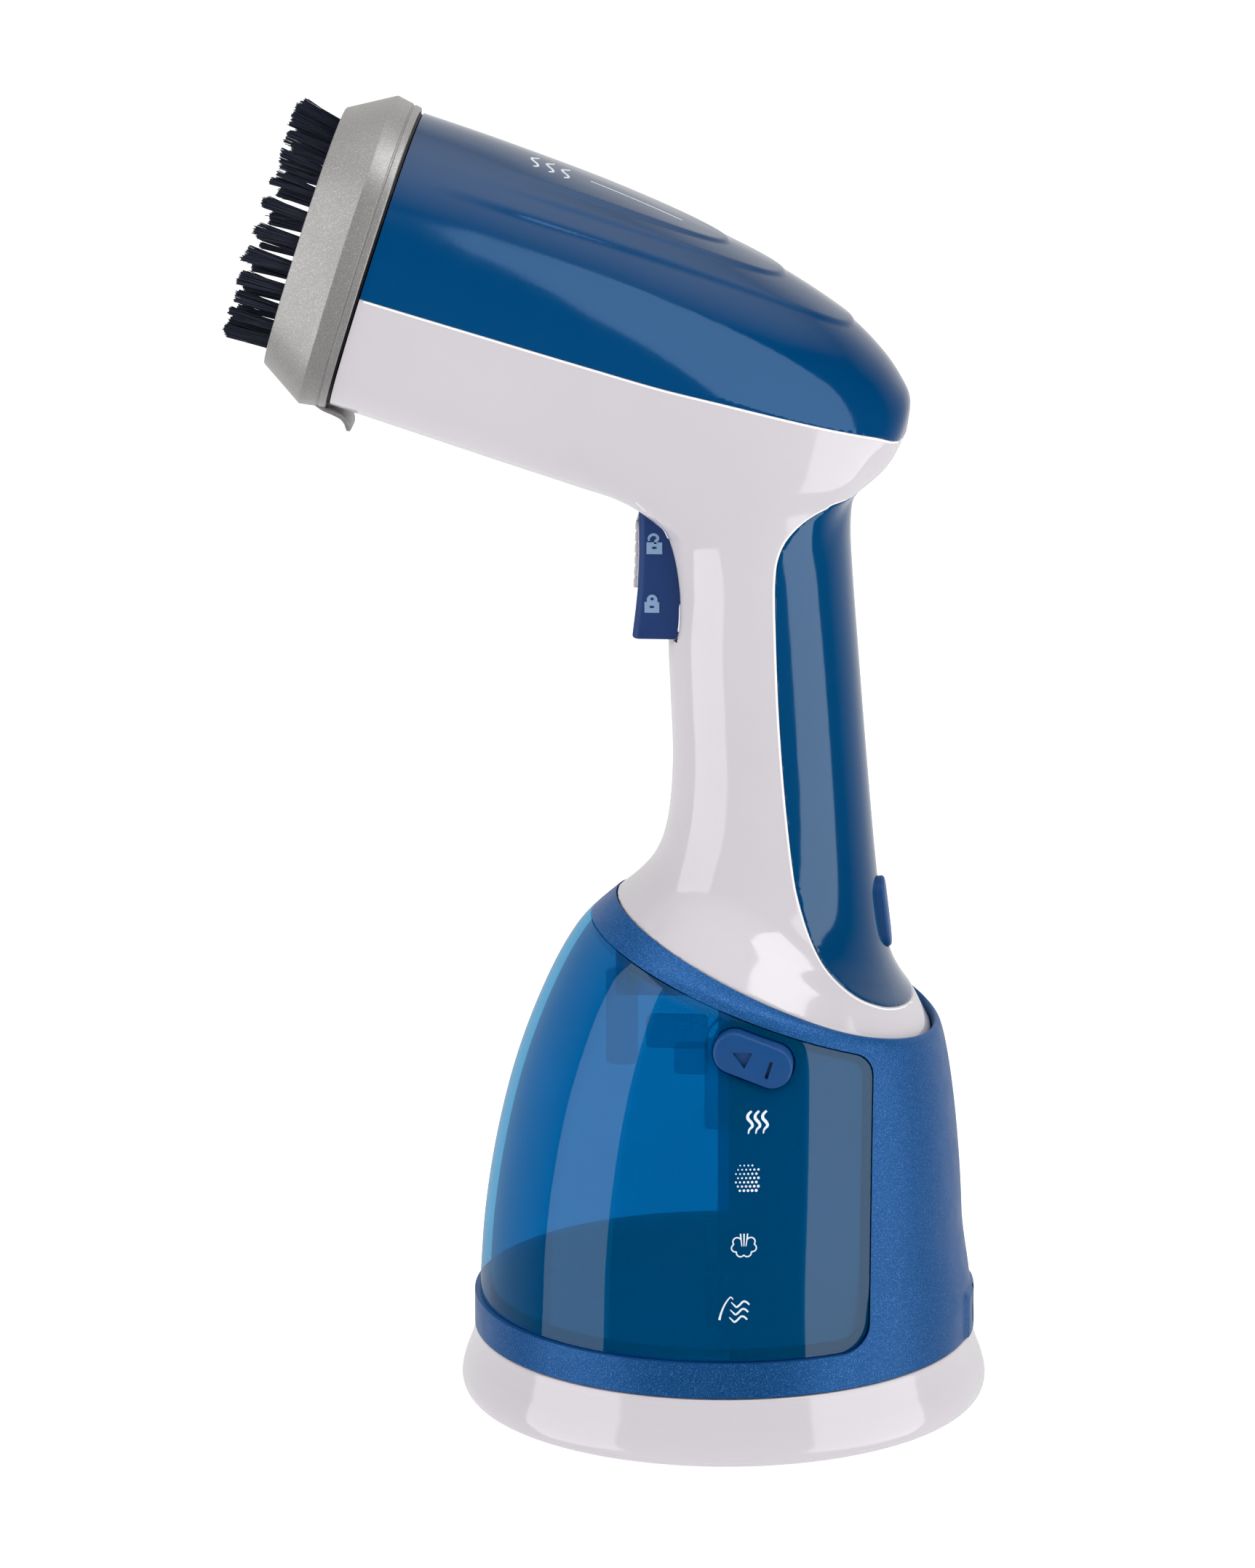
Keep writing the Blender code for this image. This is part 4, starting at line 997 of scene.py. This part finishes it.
def build_brush():
    count = 240
    corners = ((-0.8, 35.0), (-2.3, 35.25), (-2.45, 35.0), (-2.75, 35.05), (-2.9, 35.35), (-6.7, 36.0),
               (-16.8, 29.9), (-16.8, 28.4), (-13.8, 28.4), (-13.8, 22.9), (-16.8, 22.9), (-16.8, 20.6),
               (-10.2, 20.6), (-10.2, 31.0), (-1.9, 31.0), (-1.9, 34.0), (-0.8, 34.0))
    radii = (0.4, 0.1, 0.05, 0.05, 0.1, 0.5, 0.5, 0.4, 0.2, 0.2, 0.4, 0.6, 0.4, 0.4, 0.3, 0.1, 0.1)
    rings = [face_ring(s, h, count) for s, h in rounded(corners, radii, 4)]
    made = loft(rings, hollow=True)
    slot = ((-6.6, -45.0), (-6.6, -32.4), (0.0, -32.4), (0.0, -45.0))
    cut(made, prism(slot, 7.2, lift=head_point))
    dress(made, "visual_brush_frame", SILVER, "brush", "brush_frame", slot="silver_plastic", sharp=28.0)
    dress(latch_lever(), "visual_latch", SILVER, "latch", "brush_latch", slot="silver_plastic", sharp=40.0)


def brush_fibres():
    """Tufts round the oval, each of a few clumps cut at their own length and leaning their own way."""
    verts, faces = [], []
    turn = 2 * np.pi * np.arange(FIBRE_SIDES) / FIBRE_SIDES
    for i in range(TUFTS):
        place = 2 * math.pi * (i + 0.5) / TUFTS
        c, s = math.cos(place), math.sin(place)
        foot = np.array((TUFT_OVAL * HEAD_RATIO * c, TUFT_OVAL * s))
        splay = math.radians(4.0 + 4.0 * s) * np.array((c, s))
        clumps = RNG.normal(0.0, 1.0, (3, 4))
        for _ in range(110):
            a, r = RNG.uniform(0, 2 * np.pi), TUFT_RADIUS * math.sqrt(RNG.uniform(0, 1))
            root = np.array((r * math.cos(a), r * math.sin(a)))
            clump = clumps[int((root[1] + 1.4) / 0.95) % 3]
            reach = TUFT_REACH + 0.45 * clump[0] - 0.5 * abs(clump[3]) * (root[1] > 0.4)
            reach += RNG.normal(0.0, 0.22)
            lean = splay + 0.026 * clump[1:3] + RNG.normal(0.0, 0.014, 2) + 0.03 * root
            if RNG.uniform() < 0.02:
                lean = lean + RNG.normal(0.0, 0.07, 2)
                reach -= 1.4
            curl = RNG.normal(0.0, 0.12, 2)
            first = len(verts)
            for t in np.arange(FIBRE_ROWS) / (FIBRE_ROWS - 1):
                y, v = foot + root + lean * reach * t + curl * t * t
                thick = FIBRE_RADIUS * (1 - 0.3 * t)
                for w in turn:
                    verts.append((TUFT_FOOT - reach * t, y + thick * math.cos(w), v + thick * math.sin(w)))
            faces += band_faces(FIBRE_ROWS, FIBRE_SIDES, first)
            faces.append(tuple(first + j for j in range(FIBRE_SIDES - 1, -1, -1)))
            faces.append(tuple(len(verts) - FIBRE_SIDES + j for j in range(FIBRE_SIDES)))
    return mesh_piece(head_point(*np.array(verts).T), faces)


def build_bristles():
    profile = rounded(((-14.1, 28.1), (-16.4, 28.1), (-16.4, 23.2), (-14.1, 23.2)), 0.3, 3)
    plate = loft([face_ring(s, h, 120) for s, h in profile], hollow=True)
    dress(joined([plate, brush_fibres()]), "visual_bristles", FIBRE, "brush", "bristle_ring",
          slot="bristle", sharp=60.0)


def latch_lever():
    """The latch's hooked lever, tapering to a rounded tip and narrowing towards it."""
    middle = smooth_path(((-5.9, -33.9, 1.9), (-3.5, -34.2, 1.7), (-1.2, -35.0, 1.4), (1.2, -35.3, 1.3),
                          (3.2, -35.7, 1.35), (4.6, -36.6, 1.5), (5.3, -37.7, 1.5), (5.45, -38.5, 1.0)), 6)
    along = unit(np.gradient(middle[:, :2], axis=0))
    c, k = oval(32, 0.5)
    rings = []
    for i, ((s, v, thick), (ds, dv)) in enumerate(zip(middle, along)):
        half = 6.4 * (1 - 0.28 * (i / (len(middle) - 1)) ** 3)
        shift = thick / 2 * k
        rings.append(head_point(s - dv * shift, half * c, v + ds * shift))
    return loft(rings)


def lock_marks(face):
    """An open padlock above a shut one, on the trigger's side."""
    c, s = circle(48)
    q = np.maximum(np.abs(c), np.abs(s))
    marks = []
    for x, z, width, height in ((-15.55, 199.5, 3.5, 2.7), (-16.1, 185.925, 3.3, 2.45)):
        body = np.stack((x + width / 2 * np.clip(c / q, -1, 1), z + height / 2 * np.clip(s / q, -1, 1)), 1)
        marks.append(badge(body, face, -0.1, 0.12, ellipse(x, z + 0.1, 1.15, 0.6, 48)))
    hook = ((-16.75, 201.2), (-16.75, 201.9), (-16.2, 202.5), (-15.5, 202.6), (-14.9, 202.2), (-14.8, 201.6),
            (-15.2, 201.15), (-15.4, 200.5))
    marks.append(stroke(hook, (0.5, 0.7, 0.75, 0.75, 0.7), face, 6, -0.1, 0.12))
    shut = ellipse(-16.05, 187.6, 2.4, 2.5, 48)
    marks.append(badge(shut, face, -0.1, 0.11, ellipse(-16.05, 187.85, 0.75, 0.75, 48)))
    return joined(marks)


def build_trigger():
    corners = ((-19.3, 212.0, 1.0), (-19.2, 206.0, 8.0), (-19.1, 198.0, 8.0), (-19.4, 190.0, 8.0),
               (-19.9, 185.0, 8.0), (-20.7, 178.4, 0.7), (-10.7, 178.4, 0.7), (-9.4, 182.0, 4.0),
               (-8.6, 195.0, 8.0), (-6.4, 206.0, 4.0), (-6.6, 214.6, 1.0), (-13.0, 215.4, 1.0),
               (-17.6, 214.4, 1.0))
    x, z = np.array(rounded([corner[:2] for corner in corners], [corner[2] for corner in corners], 6)).T
    front = smoothstep(-x, 15.5, 18.5)
    radius, rings = 1.9, []
    turns = [math.pi / 2 * i / 8 for i in range(9)]
    for side, turn in ((-1, turns[::-1]), (1, turns)):
        for a in turn:
            in_x, in_y = radius * (1 - math.cos(a)), radius * (1 - math.sin(a))
            lift = 0.25 * (1 - math.cos(a)) * (z < 179.2)
            rings.append(np.stack((x + in_x * front, side * (TRIGGER_HALF - in_y) + 0 * x, z + lift), 1))
    made = loft(rings)
    cut(made, block((-25.0, -LOCK_HALF - 0.15, 182.4), (-18.2, LOCK_HALF + 0.15, 205.3)))
    dress(made, "visual_trigger", TRIGGER, "trigger", "trigger", slot="trigger_blue", sharp=40.0)

    for side, name in ((-1, "left"), (1, "right")):
        def face(places, height):
            x, z = np.asarray(places, float).T
            return np.stack((x, side * (TRIGGER_HALF + height) + 0 * x, z), 1)

        dress(lock_marks(face), f"visual_lock_marks_{name}", PALE, "trigger", slot="grey_plastic", sharp=30.0)

    strip = ((-19.0, 188.2), (-18.35, 188.2), (-18.35, 205.0), (-18.9, 205.0), (-19.55, 203.2),
             (-19.45, 198.0), (-19.75, 190.0))
    pieces = [bevelled(prism(rounded(strip, 0.3, 3), LOCK_HALF), 0.25, 2)]
    for i in range(6):
        z = 189.3 + 2.62 * i
        x = np.interp(z, (188.0, 191.0, 194.0, 198.0, 204.0), (-20.75, -20.55, -20.4, -20.35, -20.15))
        rib = ((-19.2, z), (x, z), (x + 0.1, z + 2.25), (-19.2, z + 2.25))
        pieces.append(bevelled(prism(rounded(rib, (0, 0.45, 0.6, 0), 4), 4.0), 0.35, 3))
    dress(joined(pieces), "visual_lock_slider", WHITE, "lock", "trigger_lock", slot="gloss_white")


def build_vent():
    """The vent's stepped walls and the filler's tube, which hang from the tank's roof."""
    steps = ((-15.8, 90.0, -2.0, 97.5, -30.0), (-9.5, 84.0, -2.0, 91.0, -30.0),
             (-2.4, 72.6, 6.9, 93.5, -34.6))
    pieces = []
    for x0, z0, x1, z1, y in steps:
        outline = rounded(((x0, z0), (x1, z0), (x1, z1), (x0, z1)), 1.2, 4)
        pieces.append(bevelled(prism(outline, 1.3, y), 0.3, 2))
    tube = ((0.0, 0.0), (3.6, 0.0), (3.6, 21.0), (0.0, 21.0))
    pieces.append(turned(tube, (-22.6, -11.0, 81.0), 32))
    dress(joined(pieces), "visual_tank_vent", INNER, "tank", slot="clear_blue", sharp=35.0)


def cloud_outline():
    """The outline of a cloud of round lobes (x, z, radius), open at the top."""
    lobes = ((-1.5, 1.0, 0.95), (-1.9, -0.4, 0.85), (-0.75, -1.45, 0.9), (0.75, -1.45, 0.9),
             (1.9, -0.4, 0.85), (1.5, 1.0, 0.95))
    turn = np.radians(np.linspace(112.0, 428.0, 90))
    reach = np.full_like(turn, 1.35)
    for x, z, r in lobes:
        along, aside = x * np.cos(turn) + z * np.sin(turn), -x * np.sin(turn) + z * np.cos(turn)
        lobe = along + np.sqrt(np.maximum(r * r - aside * aside, 0.0)) * (np.abs(aside) < r)
        reach = np.maximum(reach, lobe)
    return np.stack((reach * np.cos(turn), reach * np.sin(turn)), 1)


def build_marks():
    """Four plain marks down the tank's side: hot air, drops, a cloud of steam, and a curve over waves."""
    probe = base_solid(0.0, 12)
    face = cast_on(surface_of(probe)[0], lambda x, z: (x, -FAR, z), (0.0, 1.0, 0.0))
    discard(probe)
    wave = np.array(((0.35, 2.5), (-0.4, 1.75), (-0.45, 0.9), (0.25, 0.1), (0.6, -0.7), (-0.1, -1.5),
                     (-0.3, -2.4)))
    widths = (0.55, 0.75, 0.75, 0.6, 0.3)
    pieces = [stroke(wave + (x, 78.1), widths, face) for x in (8.45, 10.1, 11.75)]
    for i in range(6):
        for j in range(7):
            x, z, size = -2.45 + 0.9 * i + 0.45 * (j % 2), 2.8 - 0.92 * j, 0.3 + 0.033 * (i + j)
            if (x / 2.75) ** 4 + (z / 3.0) ** 4 < 1.0:
                pieces.append(badge(ellipse(8.0 + x, 66.0 + z, size, size, 16), face))
    pieces.append(stroke(cloud_outline() + (7.5, 50.9), (0.34, 0.34), face, 1))
    for low, high in ((-0.45, -0.8), (0.0, 0.0), (0.45, 0.8)):
        pieces.append(stroke(((7.5 + low, 50.9), (7.5 + high, 53.7)), (0.24, 0.4), face, 4))
    curve = np.array(((-3.3, -2.5), (-2.95, -1.0), (-2.2, 0.9), (-1.3, 2.3), (-0.75, 2.7), (-0.3, 2.2)))
    pieces.append(stroke(curve + (5.5, 36.7), (0.6, 0.5, 0.42, 0.36, 0.3, 0.28), face))
    wave = np.array(((-0.7, 1.55), (-0.1, 0.95), (0.5, 0.45), (1.2, 0.95), (1.9, 1.65), (2.6, 1.6),
                     (3.3, 0.95)))
    for k in range(3):
        place = (5.5 - 0.22 * k, 36.7 - 1.7 * k)
        pieces.append(stroke(wave + place, (0.2, 0.4, 0.5, 0.5, 0.5, 0.42), face))
    dress(joined(pieces), "visual_tank_marks", PRINT, "tank", slot="gloss_white", sharp=30.0)


build_housing()
build_base()
build_tank()
build_brush()
build_bristles()
build_trigger()
build_marks()
build_vent()
power_button = power_plug(0.0, -6.0, 1.35, 0.7)
dress(power_button, "visual_power_button", BUTTON, "power", "power_button", slot="satin_blue", sharp=40.0)

CAD_LOOKS = (
    (WHITE, "housing_left housing_right base_ring trigger_lock"),
    (BLUE, "head_top_cover rear_grip_cover"),
    (SATIN, "base_shell tank_cap"),
    (TRIGGER, "trigger"),
    (BUTTON, "release_button_left release_button_right power_button"),
    (SILVER, "brush_frame brush_latch"),
    (CLEAR, "water_tank"),
    (FIBRE, "bristle_ring"),
    (DARK, "inner_frame"),
    (GREY, "pump tank_valve thermal_fuse power_switch"),
    (BLACK, "bottom_cover plate_gasket microswitch"),
    (RUBBER, "foot_pad cord_gland cap_seal"),
    (HOSE, "supply_hose feed_hose"),
    (BOARD, "circuit_board"),
    (SEAL, "valve_seal thermostat"),
    (CAST, "boiler steam_plate"),
    (STEEL, "base_screw_1 base_screw_2 base_screw_3 plate_screw_1 plate_screw_2 release_spring_left "
            "release_spring_right latch_pin trigger_pin trigger_spring"),
)
for look, names in CAD_LOOKS:
    for name in names.split():
        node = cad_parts[name]
        node.data.materials.clear()
        node.data.materials.append(look)
